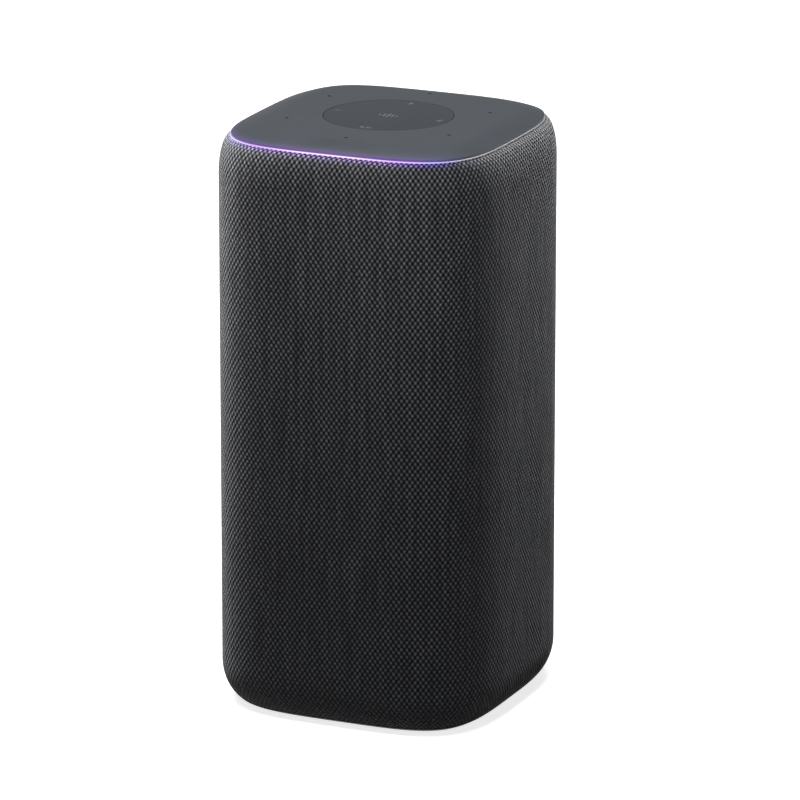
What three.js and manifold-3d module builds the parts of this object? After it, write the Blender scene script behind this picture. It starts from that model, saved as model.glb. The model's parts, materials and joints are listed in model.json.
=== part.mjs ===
// A tabletop smart speaker: a tall rounded-square column in a woven sleeve, with a domed touch top,
// a light ring, an up-firing woofer, two passive radiators, three tweeters and a mains inlet below.
// Millimetres, +Z up. The origin is on the surface it stands on, under the middle. The front is -Y.
import * as THREE from "three";
import { mergeVertices } from "three/addons/utils/BufferGeometryUtils.js";
import Module from "manifold-3d";

// ---- Driving dimensions ------------------------------------------------------------------------
const CORNERS = [[-1, -1], [1, -1], [1, 1], [-1, 1]]; // the way to each corner of a square, by sign
const WIDTH = 145; // across the flats, outside the sleeve
const HEIGHT = 289; // from the feet to the top of the cover
const SQUARENESS = 3.6; // exponent of the rounded-square section: 2 is a circle
const GAP = 0.3; // between pieces that meet

// Outline from the side
const HEEL_IN = 18; // how far the skin curves in at the bottom
const HEEL_UP = 22; // and the height that it takes
const SHOULDER_IN = 5.6; // how far the skin curves in at the top
const SHOULDER_DOWN = 18;
const HEM_Z = 3; // lower edge of the sleeve

// Skin
const FABRIC = 1.2;
const GRILLE_WALL = 2;
const WINDOW_W = 26; // windows of the grille frame
const WINDOW_H = 27;
const WINDOW_RIB = 11; // plastic left between two windows
const AIR = 8; // from the grille frame to the cabinet
const HEM_LIFT = 2.5; // of the grille frame over the hem of the sleeve
const RING_CLEAR = 1.2; // from the grille frame up to the light ring
const SKIN_STEPS = 4; // facets of the heel and of the shoulder

// Top
const COVER_RISE = 3.5; // crown of the cover above its edge
const COVER_CURVE = 15.5; // width of the curved border of the cover
const COVER_EDGE = 0.3; // upright edge under that border
const COVER_WALL = 2.4;
const SKIRT = 1.8; // thickness of the skirt that locates the cover
const RING_SHOWN = 2; // height of the light ring that shows
const RING_WALL = 2.1;
const RING_LEG = 5.8; // depth of the light ring from its top to its foot
const RING_FOOT = 1.6;
const DISC_R = 31.3; // touch disc
const DISC_H = 1.1;
const MIC_CIRCLE = 49; // radius on which the microphones sit
const MIC_COUNT = 6;
const MIC_PORT_R = 0.9;
const MIC_SIZE = [3.5, 2.65, 1];
const BOARD = 1.2; // thickness of the small circuit boards
const LED_COUNT = 12;
const LED_SIZE = [2.8, 1.6, 0.6];
const TOP_BAY = 26; // from the underside of the top frame to the top of the cover

// Drivers
const COIL_R = 13.1; // outside of the woofer's voice-coil former
const MAGNET_R = 31;
const WOOFER_TRAVEL = 4;
const BASKET_DEPTH = 34; // from the top of the cabinet down to the magnet
const PLATE = 4.2; // thickness of the top plate
const MAGNET = 12; // and of the magnet
const YOKE = 4.6; // and of the yoke
const AIR_GAP = 1.3; // from the middle of the coil to the pole and to the plate
const RADIATOR_RIM = 6.4; // width of a radiator's frame
const ROLL = 7.9; // width of a radiator's surround
const TWEETER_R = 17;
const TWEETER_LIP = 1; // how far its flange stands out
const TWEETER_DEPTH = 16;
const TWEETER_SET = 10.5; // from the skin back to the face of a tweeter
const TWEETER_AT = { front: -90, right: 30, left: 150 }; // degrees round the column
const TWEETER_BAY = 40; // height between the two inner frames
const HORN_BAY = 26; // height between the cabinet and the middle frame
const DECK = 3; // thickness of the middle frame

// Cabinet
const CABINET_WALL = 3;
const CORNER_AIR = 3.09; // from the corners of the grille frame to the cabinet

// Base
const FOOT_PROUD = 1; // how far the foot stands out below the base
const FOOT_WIDTH = 6;
const FOOT_DEPTH = 2.1;
const FLOOR = 3; // thickness of the base's floor
const TRAY_WALL = 2.4;
const TRAY_H = 14;
const WELL = { width: 34, length: 34, depth: 20, wall: 2 }; // pocket for the mains plug
const SLOT_W = 9; // way out for the mains lead
const SLOT_H = 9;
const HOOD_WALL = 1.5; // round that way out
const INLET = { width: 22, height: 13, length: 20, cavity: 12 };
const PIN_R = 1.2;
const PIN_PITCH = 8.6;
const LEG_R = 4.5; // legs of the cabinet that the base is screwed to
const STANDOFF_R = 2.6; // posts under the mains board
const BOARD_LIFT = 4; // of the mains board over the well
const BOARD_THICK = 1.6; // of the mains and main boards
const SCREW_R = 1.5;
const SCREW_HEAD_R = 3;
const SCREW_HEAD_H = 1.6;
const SCREW_LENGTH = 10;
const POWER_BAY = 28; // height over the well for the mains supply
const LEAD_R = 2;
const SINK = { fins: 7, base: 3, height: 18, border: 8 }; // heat sink, and the board shown round it

// Facets
const AROUND = 40; // round the column
const ROUND = 20; // round a driver
const SMALL = 10; // round a screw or post

// ---- Heights and half-widths worked out from them ----------------------------------------------
const half = WIDTH / 2;
const grilleDepth = FABRIC + GAP + GRILLE_WALL;
const coverEdgeZ = HEIGHT - COVER_RISE - COVER_EDGE;
const ringTop = coverEdgeZ - GAP;
const shoulderZ = ringTop - RING_SHOWN / 2;
const fabricTop = ringTop - RING_SHOWN;
const ringHalf = half - SHOULDER_IN - 0.1;
const coverHalf = ringHalf - 0.4;
const topFrameZ = HEIGHT - TOP_BAY;
const midFrameZ = topFrameZ - TWEETER_BAY;
const cabinetTop = midFrameZ - HORN_BAY;
const wellTop = FOOT_PROUD + WELL.depth + WELL.wall;
const cabinetZ = wellTop + POWER_BAY;
const cabinetHalf = half - grilleDepth - AIR;
const innerHalf = half - grilleDepth;
const cabinetCorner =
  (Math.SQRT2 * cabinetHalf - diagonal(innerHalf) + CORNER_AIR) / (Math.SQRT2 - 1);
const rimHalf = skinHalfAt(FOOT_PROUD);
const footOuter = rimHalf - 3.4;
const footInner = footOuter - FOOT_WIDTH;
const trayHalf = skinHalfAt(HEM_Z) - grilleDepth - 0.5;
const legReach = (diagonal(footInner) - LEG_R - 2) / Math.SQRT2;
const wellRear = footInner - WELL.wall - 1;
const wellFront = wellRear - WELL.length;
const inletZ = FOOT_PROUD + WELL.depth / 2 + 1;
const deckTop = midFrameZ + DECK;
const tweeterZ = (deckTop + topFrameZ) / 2;
const tweeterFace = half - TWEETER_SET;

/** Half-width of the skin at a height in the heel. */
function skinHalfAt(z) {
  const drop = Math.min(1, Math.max(0, (HEEL_UP - z) / HEEL_UP));
  return half - HEEL_IN * (1 - Math.sqrt(1 - drop * drop));
}

/** Distance from the axis to the corner of a section with this half-width. */
function diagonal(h) {
  return half * Math.pow(2, 0.5 - 1 / SQUARENESS) - (half - h);
}

// ---- Shape helpers -----------------------------------------------------------------------------
const wasm = await Module();
wasm.setup();

/** The geometry as a solid that can be joined and cut. */
function solid(geometry) {
  const bare = geometry.index ? geometry.toNonIndexed() : geometry.clone();
  bare.deleteAttribute("normal");
  bare.deleteAttribute("uv");
  const merged = mergeVertices(bare, 1e-4);
  return new wasm.Manifold(
    new wasm.Mesh({
      numProp: 3,
      vertProperties: merged.attributes.position.array,
      triVerts: new Uint32Array(merged.index.array),
    }),
  );
}

/** The solid as a geometry. */
function geometryOf(shape) {
  const mesh = shape.getMesh();
  const geometry = new THREE.BufferGeometry();
  geometry.setAttribute("position", new THREE.BufferAttribute(mesh.vertProperties, 3));
  geometry.setIndex(new THREE.BufferAttribute(mesh.triVerts, 1));
  geometry.computeVertexNormals();
  return geometry;
}

/** A list of points along an arc of an ellipse, from angle a to angle b in radians. */
function arc(cx, cy, rx, ry, a, b, steps) {
  return Array.from({ length: steps + 1 }, (_, i) => {
    const t = a + ((b - a) * i) / steps;
    return [cx + rx * Math.cos(t), cy + ry * Math.sin(t)];
  });
}

/** Twice the area inside a profile, positive when it runs anticlockwise. */
function turning(profile) {
  return profile.reduce((sum, [x, y], i) => {
    const [nx, ny] = profile[(i + 1) % profile.length];
    return sum + x * ny - nx * y;
  }, 0);
}

/** Turns a profile of [radius, height] about Z. It starts and ends on the axis, or is closed. */
function turned(profile, segments) {
  const points = turning(profile) > 0 ? [...profile] : [...profile].reverse();
  const first = points.findIndex(([r], i) => r === 0 && points[(i + 1) % points.length][0] > 0);
  const start = Math.max(first, 0);
  const ordered = [...points.slice(start), ...points.slice(0, start)];
  if (first < 0) ordered.push(ordered[0]);
  const path = ordered.map(([r, z]) => new THREE.Vector2(r, z));
  return new THREE.LatheGeometry(path, segments).rotateX(Math.PI / 2);
}

/** Turns a profile of [radius, distance] about X instead. */
function turnedOnX(profile, segments) {
  return turned(profile, segments).rotateY(Math.PI / 2);
}

const OFFSET_LIMIT = 20; // deeper than this, a section is scaled down, because its corner would close

/** The point at parameter t on the section whose half-width is r. */
function onSection(r, t) {
  const inset = Math.min(half - r, OFFSET_LIMIT);
  const power = (value, exponent) => Math.sign(value) * Math.pow(Math.abs(value), exponent);
  const unit = [power(Math.cos(t), 2 / SQUARENESS), power(Math.sin(t), 2 / SQUARENESS)];
  const normal = unit.map((u) => power(u, SQUARENESS - 1));
  const length = Math.hypot(...normal);
  const scale = r / (half - inset);
  return unit.map((u, i) => (half * u - (inset * normal[i]) / length) * scale);
}

/** A turned profile carried round the rounded-square section instead of a circle. */
function columned(profile) {
  const geometry = turned(profile, AROUND);
  const position = geometry.attributes.position;
  for (let i = 0; i < position.count; i++) {
    const x = position.getX(i);
    const y = position.getY(i);
    const r = Math.hypot(x, y);
    const [sx, sy] = r < 1e-6 ? [0, 0] : onSection(r, Math.atan2(y, x));
    position.setXY(i, sx, sy);
  }
  return geometry;
}

/** A box between two corners. */
function box([x0, y0, z0], [x1, y1, z1]) {
  const geometry = new THREE.BoxGeometry(x1 - x0, y1 - y0, z1 - z0);
  return geometry.translate((x0 + x1) / 2, (y0 + y1) / 2, (z0 + z1) / 2);
}

/** An upright cylinder from z0 to z1. */
function post(x, y, z0, z1, r, segments = SMALL) {
  const geometry = new THREE.CylinderGeometry(r, r, z1 - z0, segments).rotateX(Math.PI / 2);
  return geometry.translate(x, y, (z0 + z1) / 2);
}

/** A cylinder along X from x0 to x1. */
function bar(x0, x1, y, z, r, segments = SMALL) {
  const geometry = new THREE.CylinderGeometry(r, r, x1 - x0, segments).rotateZ(Math.PI / 2);
  return geometry.translate((x0 + x1) / 2, y, z);
}

/** An upright square prism with round corners. */
function roundedPrism(reach, corner, z0, z1) {
  const shape = new THREE.Shape();
  const c = reach - corner;
  shape.absarc(c, c, corner, 0, Math.PI / 2);
  shape.absarc(-c, c, corner, Math.PI / 2, Math.PI);
  shape.absarc(-c, -c, corner, Math.PI, 1.5 * Math.PI);
  shape.absarc(c, -c, corner, 1.5 * Math.PI, 2 * Math.PI);
  const geometry = new THREE.ExtrudeGeometry(shape, {
    depth: z1 - z0,
    bevelEnabled: false,
    curveSegments: 5,
  });
  return geometry.translate(0, 0, z0);
}

/** A cap or roll of even thickness: the outer arc and the same arc moved in by the wall. */
function shellProfile(outer, wall) {
  const inner = outer.map(([r, z], i) => {
    const before = outer[Math.max(i - 1, 0)];
    const after = outer[Math.min(i + 1, outer.length - 1)];
    const length = Math.hypot(after[0] - before[0], after[1] - before[1]);
    const normal = [(after[1] - before[1]) / length, (before[0] - after[0]) / length];
    return [Math.max(0, r - wall * normal[0]), z - wall * normal[1]];
  });
  return [...outer, ...inner.reverse()];
}

// ---- Finishes ----------------------------------------------------------------------------------
/** A plain material. */
function finish(color, roughness, metalness = 0) {
  return new THREE.MeshStandardMaterial({ color, roughness, metalness });
}

const FINISH = {
  cloth: finish(0x2b2c2f, 0.95),
  satinPlastic: finish(0x45484d, 0.38),
  discPlastic: finish(0x3e4146, 0.32),
  diffuser: finish(0xe6d8f4, 0.4),
  blackPlastic: finish(0x17181a, 0.6),
  cabinetPlastic: finish(0x202225, 0.55),
  board: finish(0x14502e, 0.45),
  blackBoard: finish(0x15181c, 0.4),
  paper: finish(0x1d1d1f, 0.85),
  rubber: finish(0x101112, 0.8),
  spider: finish(0xb98f3f, 0.9),
  coil: finish(0xb36a34, 0.35, 0.9),
  steel: finish(0xa9adb2, 0.35, 0.9),
  ferrite: finish(0x3a3b3e, 0.6, 0.2),
  aluminium: finish(0xc2c5c9, 0.4, 0.9),
  brass: finish(0xcaa65a, 0.3, 0.95),
  silk: finish(0x18191b, 0.7),
  core: finish(0xd9c35a, 0.5),
  microphone: finish(0xc9b27a, 0.35, 0.8),
};

const speaker = new THREE.Group();
speaker.name = "smart_speaker";

/** Adds one named piece to the speaker. */
function piece(name, geometry, material, parent = speaker) {
  const mesh = new THREE.Mesh(geometry, material);
  mesh.name = name;
  parent.add(mesh);
  return mesh;
}

// ---- Skin --------------------------------------------------------------------------------------
/** A point of the heel at angle t, moved in by depth. The angle is 0 at the top of the heel. */
function heelPoint(t, depth) {
  const n = [Math.cos(t) / HEEL_IN, -Math.sin(t) / HEEL_UP];
  const length = Math.hypot(...n);
  const r = half - HEEL_IN * (1 - Math.cos(t));
  const z = HEEL_UP * (1 - Math.sin(t));
  return [r - (depth * n[0]) / length, z - (depth * n[1]) / length];
}

/** A point of the shoulder at angle t, moved in by depth. The angle is 0 at its foot. */
function shoulderPoint(t, depth) {
  const n = [Math.cos(t) / SHOULDER_IN, Math.sin(t) / SHOULDER_DOWN];
  const length = Math.hypot(...n);
  const r = half - SHOULDER_IN * (1 - Math.cos(t));
  const z = shoulderZ - SHOULDER_DOWN * (1 - Math.sin(t));
  return [r - (depth * n[0]) / length, z - (depth * n[1]) / length];
}

/** One side of a wall that follows the skin at a depth, from its hem up to its top. */
function skinLine(depth, hemZ, topZ, steps) {
  const hemAngle = Math.asin(1 - hemZ / HEEL_UP);
  const topAngle = Math.asin(1 - (shoulderZ - topZ) / SHOULDER_DOWN);
  const turns = Array.from({ length: steps + 1 }, (_, i) => i / steps);
  return [
    ...turns.map((k) => heelPoint(hemAngle * (1 - k), depth)),
    ...turns.map((k) => shoulderPoint(topAngle * k, depth)),
  ];
}

/** A wall between two depths under the skin. */
function skinWall(outer, inner, hemZ, topZ, steps) {
  const back = skinLine(inner, hemZ, topZ, steps).reverse();
  return columned([...skinLine(outer, hemZ, topZ, steps), ...back]);
}

/** The arch at the back where the mains lead leaves, cut through the skin with a margin round it. */
function leadArch(margin) {
  const reach = SLOT_W / 2 + margin;
  const straight = box([-reach, wellRear, -1], [reach, WIDTH, SLOT_H - SLOT_W / 2]);
  const arch = bar(wellRear, WIDTH, 0, SLOT_H - SLOT_W / 2, reach).rotateZ(Math.PI / 2);
  return solid(straight).add(solid(arch));
}

function addSkin() {
  const sleeve = solid(skinWall(0, FABRIC, HEM_Z, fabricTop, SKIN_STEPS));
  piece("fabric_sleeve", geometryOf(sleeve.subtract(leadArch(GAP + HOOD_WALL))), FINISH.cloth);

  const grilleHem = HEM_Z + HEM_LIFT;
  const grilleTop = ringTop - RING_LEG - RING_CLEAR;
  let grille = solid(skinWall(FABRIC + GAP, grilleDepth, grilleHem, grilleTop, SKIN_STEPS - 1));
  const rows = Math.floor((grilleTop - HEEL_UP - SHOULDER_DOWN / 2) / (WINDOW_H + WINDOW_RIB));
  const columns = Math.floor((2 * (half - HEEL_IN)) / (WINDOW_W + WINDOW_RIB));
  for (let row = 0; row < rows; row++) {
    const z = HEEL_UP + 4 + row * (WINDOW_H + WINDOW_RIB);
    for (let column = 0; column < columns; column++) {
      const across = (column - (columns - 1) / 2) * (WINDOW_W + WINDOW_RIB);
      const low = across - WINDOW_W / 2;
      const high = across + WINDOW_W / 2;
      grille = grille.subtract(solid(box([low, -WIDTH, z], [high, WIDTH, z + WINDOW_H])));
      grille = grille.subtract(solid(box([-WIDTH, low, z], [WIDTH, high, z + WINDOW_H])));
    }
  }
  piece("grille_frame", geometryOf(grille.subtract(leadArch(GAP + HOOD_WALL))), FINISH.blackPlastic);
}

// ---- Top ---------------------------------------------------------------------------------------
/** The curved border of the cover, from its edge in to the flat, as a sine ramp. */
function coverBorder(edgeR, edgeZ, width, steps) {
  return Array.from({ length: steps + 1 }, (_, i) => {
    const k = i / steps;
    return [edgeR - width * k, edgeZ + COVER_RISE * Math.sin((k * Math.PI) / 2)];
  });
}

function addTop() {
  const skirtOuter = ringHalf - RING_WALL - GAP - 0.1;
  const skirtInner = skirtOuter - SKIRT;
  const skirtFoot = ringTop - RING_LEG + RING_FOOT + 0.4;
  const underZ = HEIGHT - COVER_WALL;
  const outer = coverBorder(coverHalf, coverEdgeZ + COVER_EDGE, COVER_CURVE, 4);
  const inner = coverBorder(skirtInner, underZ - COVER_RISE, COVER_CURVE - SKIRT, 2);
  let cover = solid(
    columned([
      [0, underZ],
      ...inner.reverse(),
      [skirtInner, skirtFoot],
      [skirtOuter, skirtFoot],
      [skirtOuter, coverEdgeZ],
      [coverHalf, coverEdgeZ],
      ...outer,
      [0, HEIGHT],
    ]),
  );
  const recess = HEIGHT - DISC_H - GAP;
  cover = cover.subtract(solid(post(0, 0, recess, HEIGHT + 1, DISC_R + GAP, 40)));
  const micAngles = Array.from(
    { length: MIC_COUNT },
    (_, i) => ((i + 0.5) / MIC_COUNT) * 2 * Math.PI,
  );
  for (const angle of micAngles) {
    const [x, y] = [MIC_CIRCLE * Math.cos(angle), MIC_CIRCLE * Math.sin(angle)];
    cover = cover.subtract(solid(post(x, y, underZ - 9, HEIGHT + 1, MIC_PORT_R, 8)));
  }
  piece("top_cover", geometryOf(cover), FINISH.satinPlastic);

  const discProfile = [
    [0, HEIGHT - DISC_H],
    [DISC_R, HEIGHT - DISC_H],
    [DISC_R, HEIGHT - 0.25],
    [DISC_R - 0.2, HEIGHT - 0.05],
    [0, HEIGHT - 0.05],
  ];
  piece("touch_disc", turned(discProfile, 40), FINISH.discPlastic);
  const sensorTop = underZ - GAP;
  const sensor = post(0, 0, sensorTop - 0.7, sensorTop, DISC_R - 2, 24);
  piece("touch_sensor", sensor, FINISH.blackBoard);

  const micTop = underZ - COVER_RISE / 2;
  const micBoardTop = micTop - MIC_SIZE[2] - 0.1;
  const micBoard = [
    [MIC_CIRCLE - 10, micBoardTop - BOARD],
    [MIC_CIRCLE + 5, micBoardTop - BOARD],
    [MIC_CIRCLE + 5, micBoardTop],
    [MIC_CIRCLE - 10, micBoardTop],
  ];
  piece("mic_board", turned(micBoard, 24), FINISH.blackBoard);
  micAngles.forEach((angle, i) => {
    const body = new THREE.BoxGeometry(...MIC_SIZE);
    const mesh = piece(`microphone_${i + 1}`, body, FINISH.microphone);
    mesh.position.set(
      MIC_CIRCLE * Math.cos(angle),
      MIC_CIRCLE * Math.sin(angle),
      micTop - MIC_SIZE[2] / 2,
    );
    mesh.rotation.z = angle;
  });

  const ringFoot = ringTop - RING_LEG;
  const footIn = skirtInner - 1.6;
  const ring = columned([
    [footIn, ringFoot],
    [ringHalf, ringFoot],
    [ringHalf, ringTop],
    [ringHalf - RING_WALL, ringTop],
    [ringHalf - RING_WALL, ringFoot + RING_FOOT],
    [footIn, ringFoot + RING_FOOT],
  ]);
  piece("light_ring", ring, FINISH.diffuser);

  const ledTop = ringFoot - GAP;
  const ledBoardTop = ledTop - LED_SIZE[2];
  const ledBoardOuter = ringHalf - 3.4;
  let leds = solid(
    columned([
      [footIn - 4, ledBoardTop - BOARD],
      [ledBoardOuter, ledBoardTop - BOARD],
      [ledBoardOuter, ledBoardTop],
      [footIn - 4, ledBoardTop],
    ]),
  );
  for (let i = 0; i < LED_COUNT; i++) {
    const t = ((i + 0.5) / LED_COUNT) * 2 * Math.PI;
    const [x, y] = onSection((footIn + ledBoardOuter) / 2, t);
    const lamp = new THREE.BoxGeometry(LED_SIZE[1], LED_SIZE[0], LED_SIZE[2] + 0.2);
    lamp.rotateZ(Math.atan2(y, x)).translate(x, y, ledTop - LED_SIZE[2] / 2 - 0.1);
    leds = leds.add(solid(lamp));
  }
  piece("led_board", geometryOf(leds), FINISH.blackBoard);

  const wallTop = ledBoardTop - BOARD - GAP;
  let frame = solid(
    columned([
      [26, topFrameZ],
      [ledBoardOuter + 1, topFrameZ],
      [ledBoardOuter + 1, wallTop],
      [ledBoardOuter - 1.5, wallTop],
      [ledBoardOuter - 1.5, topFrameZ + 2.5],
      [26, topFrameZ + 2.5],
    ]),
  );
  for (const angle of [90, 210, 330].map(THREE.MathUtils.degToRad)) {
    const reach = MIC_CIRCLE - 4;
    const [x, y] = [reach * Math.cos(angle), reach * Math.sin(angle)];
    frame = frame.add(solid(post(x, y, topFrameZ + 1, micBoardTop - BOARD - GAP, 3)));
  }
  piece("top_frame", geometryOf(frame), FINISH.blackPlastic);
}

// ---- Tweeters and the frame that holds them ----------------------------------------------------
/** Adds one tweeter that faces along +X of its own turned group. */
function addTweeter(name, angle) {
  const face = tweeterFace;
  const back = face - TWEETER_DEPTH;
  const mouth = TWEETER_R - 4;
  const domeR = mouth - 4.4;
  const cavity = face - 5.5;
  const group = new THREE.Group();
  group.rotation.z = angle;
  group.position.z = tweeterZ;
  speaker.add(group);
  const housing = [
    [0, back],
    [TWEETER_R, back],
    [TWEETER_R, face - 2.2],
    [TWEETER_R + TWEETER_LIP, face - 2.2],
    [TWEETER_R + TWEETER_LIP, face],
    [mouth, face],
    [mouth, cavity],
    [0, cavity],
  ];
  piece(`tweeter_${name}_housing`, turnedOnX(housing, 16), FINISH.blackPlastic, group);
  const domeArc = arc(0, face - 3.8, domeR, 2.8, 0, Math.PI / 2, 3);
  const dome = shellProfile([[domeR, cavity + 0.8], ...domeArc.slice(0, 3)], 0.5);
  const crown = [[0, face - 1], [0, face - 1.5]];
  const domeProfile = [...dome.slice(0, 4), ...crown, ...dome.slice(4)];
  piece(`tweeter_${name}_dome`, turnedOnX(domeProfile, 12), FINISH.silk, group);
  const rollArc = arc((domeR + mouth) / 2, face - 3.8, (mouth - domeR) / 2 - GAP, 1.3, 0, Math.PI, 3);
  const roll = shellProfile(rollArc, 0.4);
  piece(`tweeter_${name}_surround`, turnedOnX(roll, 14), FINISH.rubber, group);
}

function addTweeterDeck() {
  const deckHalf = innerHalf - 3;
  let deck = solid(
    columned([
      [0, midFrameZ],
      [deckHalf, midFrameZ],
      [deckHalf, deckTop],
      [0, deckTop],
    ]),
  );
  const cradleIn = tweeterFace - TWEETER_DEPTH + 2;
  const cradleOut = tweeterFace - 2.2 - GAP;
  const wide = TWEETER_R + 3;
  for (const [name, degrees] of Object.entries(TWEETER_AT)) {
    const angle = THREE.MathUtils.degToRad(degrees);
    const block = box([cradleIn, -wide, deckTop - 1], [cradleOut, wide, topFrameZ - GAP]);
    const bore = bar(cradleIn - 5, cradleOut + 5, 0, tweeterZ, TWEETER_R + GAP, 20);
    deck = deck.add(solid(block.rotateZ(angle)));
    deck = deck.subtract(solid(bore.rotateZ(angle)));
    addTweeter(name, angle);
  }
  const notch = LEAD_R + 2;
  const notchBox = box([-notch, cabinetHalf, midFrameZ - 1], [notch, WIDTH, deckTop + 1]);
  piece("middle_frame", geometryOf(deck.subtract(solid(notchBox))), FINISH.blackPlastic);

  const hornTop = midFrameZ - GAP;
  const hornR = cabinetHalf - 17;
  const horn = [
    [0, hornTop - 14],
    [6, hornTop - 12.5],
    [hornR * 0.45, hornTop - 6],
    [hornR, hornTop - 1],
    [hornR, hornTop],
    [0, hornTop],
  ];
  piece("sound_deflector", turned(horn, ROUND), FINISH.cabinetPlastic);
}

// ---- Cabinet -----------------------------------------------------------------------------------
const wooferR = cabinetHalf - 6; // outside of the woofer's flange
const wooferHole = wooferR - 6.4;
const radiatorR = cabinetHalf - cabinetCorner - 1.5;
const radiatorHole = radiatorR - 5;
const radiatorZ = cabinetZ + radiatorR + 18;

function addCabinet() {
  const bodyZ = cabinetZ + CABINET_WALL + GAP;
  const inside = cabinetHalf - CABINET_WALL;
  const insideCorner = cabinetCorner - CABINET_WALL;
  const shell = solid(roundedPrism(cabinetHalf, cabinetCorner, bodyZ, cabinetTop));
  const room = roundedPrism(inside, insideCorner, bodyZ - 1, cabinetTop - CABINET_WALL);
  const mouth = post(0, 0, cabinetTop - 9, cabinetTop + 1, wooferHole, ROUND);
  const sides = bar(-WIDTH, WIDTH, 0, radiatorZ, radiatorHole, ROUND);
  const body = shell.subtract(solid(room)).subtract(solid(mouth)).subtract(solid(sides));
  piece("cabinet_body", geometryOf(body), FINISH.cabinetPlastic);

  let floor = solid(
    roundedPrism(cabinetHalf, cabinetCorner, cabinetZ, cabinetZ + CABINET_WALL),
  );
  const legFoot = FOOT_PROUD + FLOOR + GAP;
  for (const [sx, sy] of CORNERS) {
    const [x, y] = [sx * legReach, sy * legReach];
    floor = floor.add(solid(post(x, y, legFoot, cabinetZ + 1, LEG_R)));
    const boreTop = legFoot + SCREW_LENGTH;
    floor = floor.subtract(solid(post(x, y, legFoot - 1, boreTop, SCREW_R + GAP, 10)));
  }
  piece("cabinet_floor", geometryOf(floor), FINISH.cabinetPlastic);
}

// ---- Woofer ------------------------------------------------------------------------------------
function addWoofer() {
  const c = cabinetTop;
  const mouthR = wooferHole - 2.2;
  const seat = c - BASKET_DEPTH;
  const basketProfile = [
    [COIL_R + 1.9, seat],
    [MAGNET_R + 1, seat],
    [wooferHole - 0.4, c - 6],
    [wooferHole - 0.4, c + GAP],
    [wooferR, c + GAP],
    [wooferR, c + 3],
    [mouthR, c + 3],
    [mouthR, c - 5],
    [MAGNET_R, seat + 2.5],
    [COIL_R + 1.9, seat + 2.5],
  ];
  let basket = solid(turned(basketProfile, ROUND));
  for (const angle of [0, 60, 120]) {
    const slot = box([-WIDTH, -9, seat + 8], [WIDTH, 9, c - 10]);
    basket = basket.subtract(solid(slot.rotateZ(THREE.MathUtils.degToRad(angle))));
  }
  piece("woofer_basket", geometryOf(basket), FINISH.blackPlastic);

  const plateTop = seat - GAP;
  const plateFoot = plateTop - PLATE;
  const magnetFoot = plateFoot - GAP - MAGNET;
  const poleR = COIL_R - AIR_GAP;
  const yokeTop = magnetFoot - GAP;
  const ringOf = (inner, outer, z0, z1) => [
    [inner, z0],
    [outer, z0],
    [outer, z1],
    [inner, z1],
  ];
  const topPlate = ringOf(COIL_R + AIR_GAP, MAGNET_R - 1, plateFoot, plateTop);
  piece("woofer_top_plate", turned(topPlate, ROUND), FINISH.steel);
  const magnet = ringOf(COIL_R + 4, MAGNET_R, magnetFoot, plateFoot - GAP);
  piece("woofer_magnet", turned(magnet, ROUND), FINISH.ferrite);
  const yoke = [
    [0, yokeTop - YOKE],
    [MAGNET_R - 1, yokeTop - YOKE],
    [MAGNET_R - 1, yokeTop],
    [poleR, yokeTop],
    [poleR, plateTop],
    [0, plateTop],
  ];
  piece("woofer_yoke", turned(yoke, ROUND), FINISH.steel);

  const neckZ = c - 14;
  const coilFoot = yokeTop + WOOFER_TRAVEL + 2;
  const coil = [
    [COIL_R - 0.6, coilFoot],
    [COIL_R + 0.6, coilFoot],
    [COIL_R + 0.6, coilFoot + 10],
    [COIL_R, coilFoot + 10],
    [COIL_R, neckZ],
    [COIL_R - 0.6, neckZ],
  ];
  piece("woofer_voice_coil", turned(coil, 20), FINISH.coil);

  const coneR = mouthR - 6.9;
  const neckR = COIL_R + 0.5;
  const cone = [
    [neckR, neckZ],
    [neckR + (coneR - neckR) * 0.5, neckZ + 8.6],
    [coneR, c + 0.6],
    [coneR, c + 1.5],
    [neckR + (coneR - neckR) * 0.5, neckZ + 9.6],
    [neckR, neckZ + 1.2],
  ];
  piece("woofer_cone", turned(cone, ROUND), FINISH.paper);
  const capR = COIL_R + 4;
  const capZ = neckZ + 5.6;
  const capOuter = arc(0, capZ, capR, 5.5, 0, Math.PI / 2, 4).slice(0, 4);
  const cap = shellProfile(capOuter, 0.7);
  const capTop = [[0, capZ + 5.5], [0, capZ + 4.8]];
  const capProfile = [...cap.slice(0, 4), ...capTop, ...cap.slice(4)];
  piece("woofer_dust_cap", turned(capProfile, 20), FINISH.paper);

  const rollR = (mouthR - coneR) / 2 - GAP;
  const roll = shellProfile(arc((mouthR + coneR) / 2, c + 0.8, rollR, rollR, 0, Math.PI, 3), 0.8);
  piece("woofer_surround", turned(roll, ROUND), FINISH.rubber);

  const spiderOuter = MAGNET_R + 0.5;
  const waves = 4;
  const spider = Array.from({ length: waves + 1 }, (_, i) => {
    const r = COIL_R + GAP + ((spiderOuter - COIL_R - GAP) * i) / waves;
    return [r, seat + 4.6 + (i % 2 ? 0.6 : -0.6)];
  });
  const spiderProfile = [...spider, ...spider.map(([r, z]) => [r, z + 0.7]).reverse()];
  piece("woofer_spider", turned(spiderProfile, 20), FINISH.spider);
}

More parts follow.
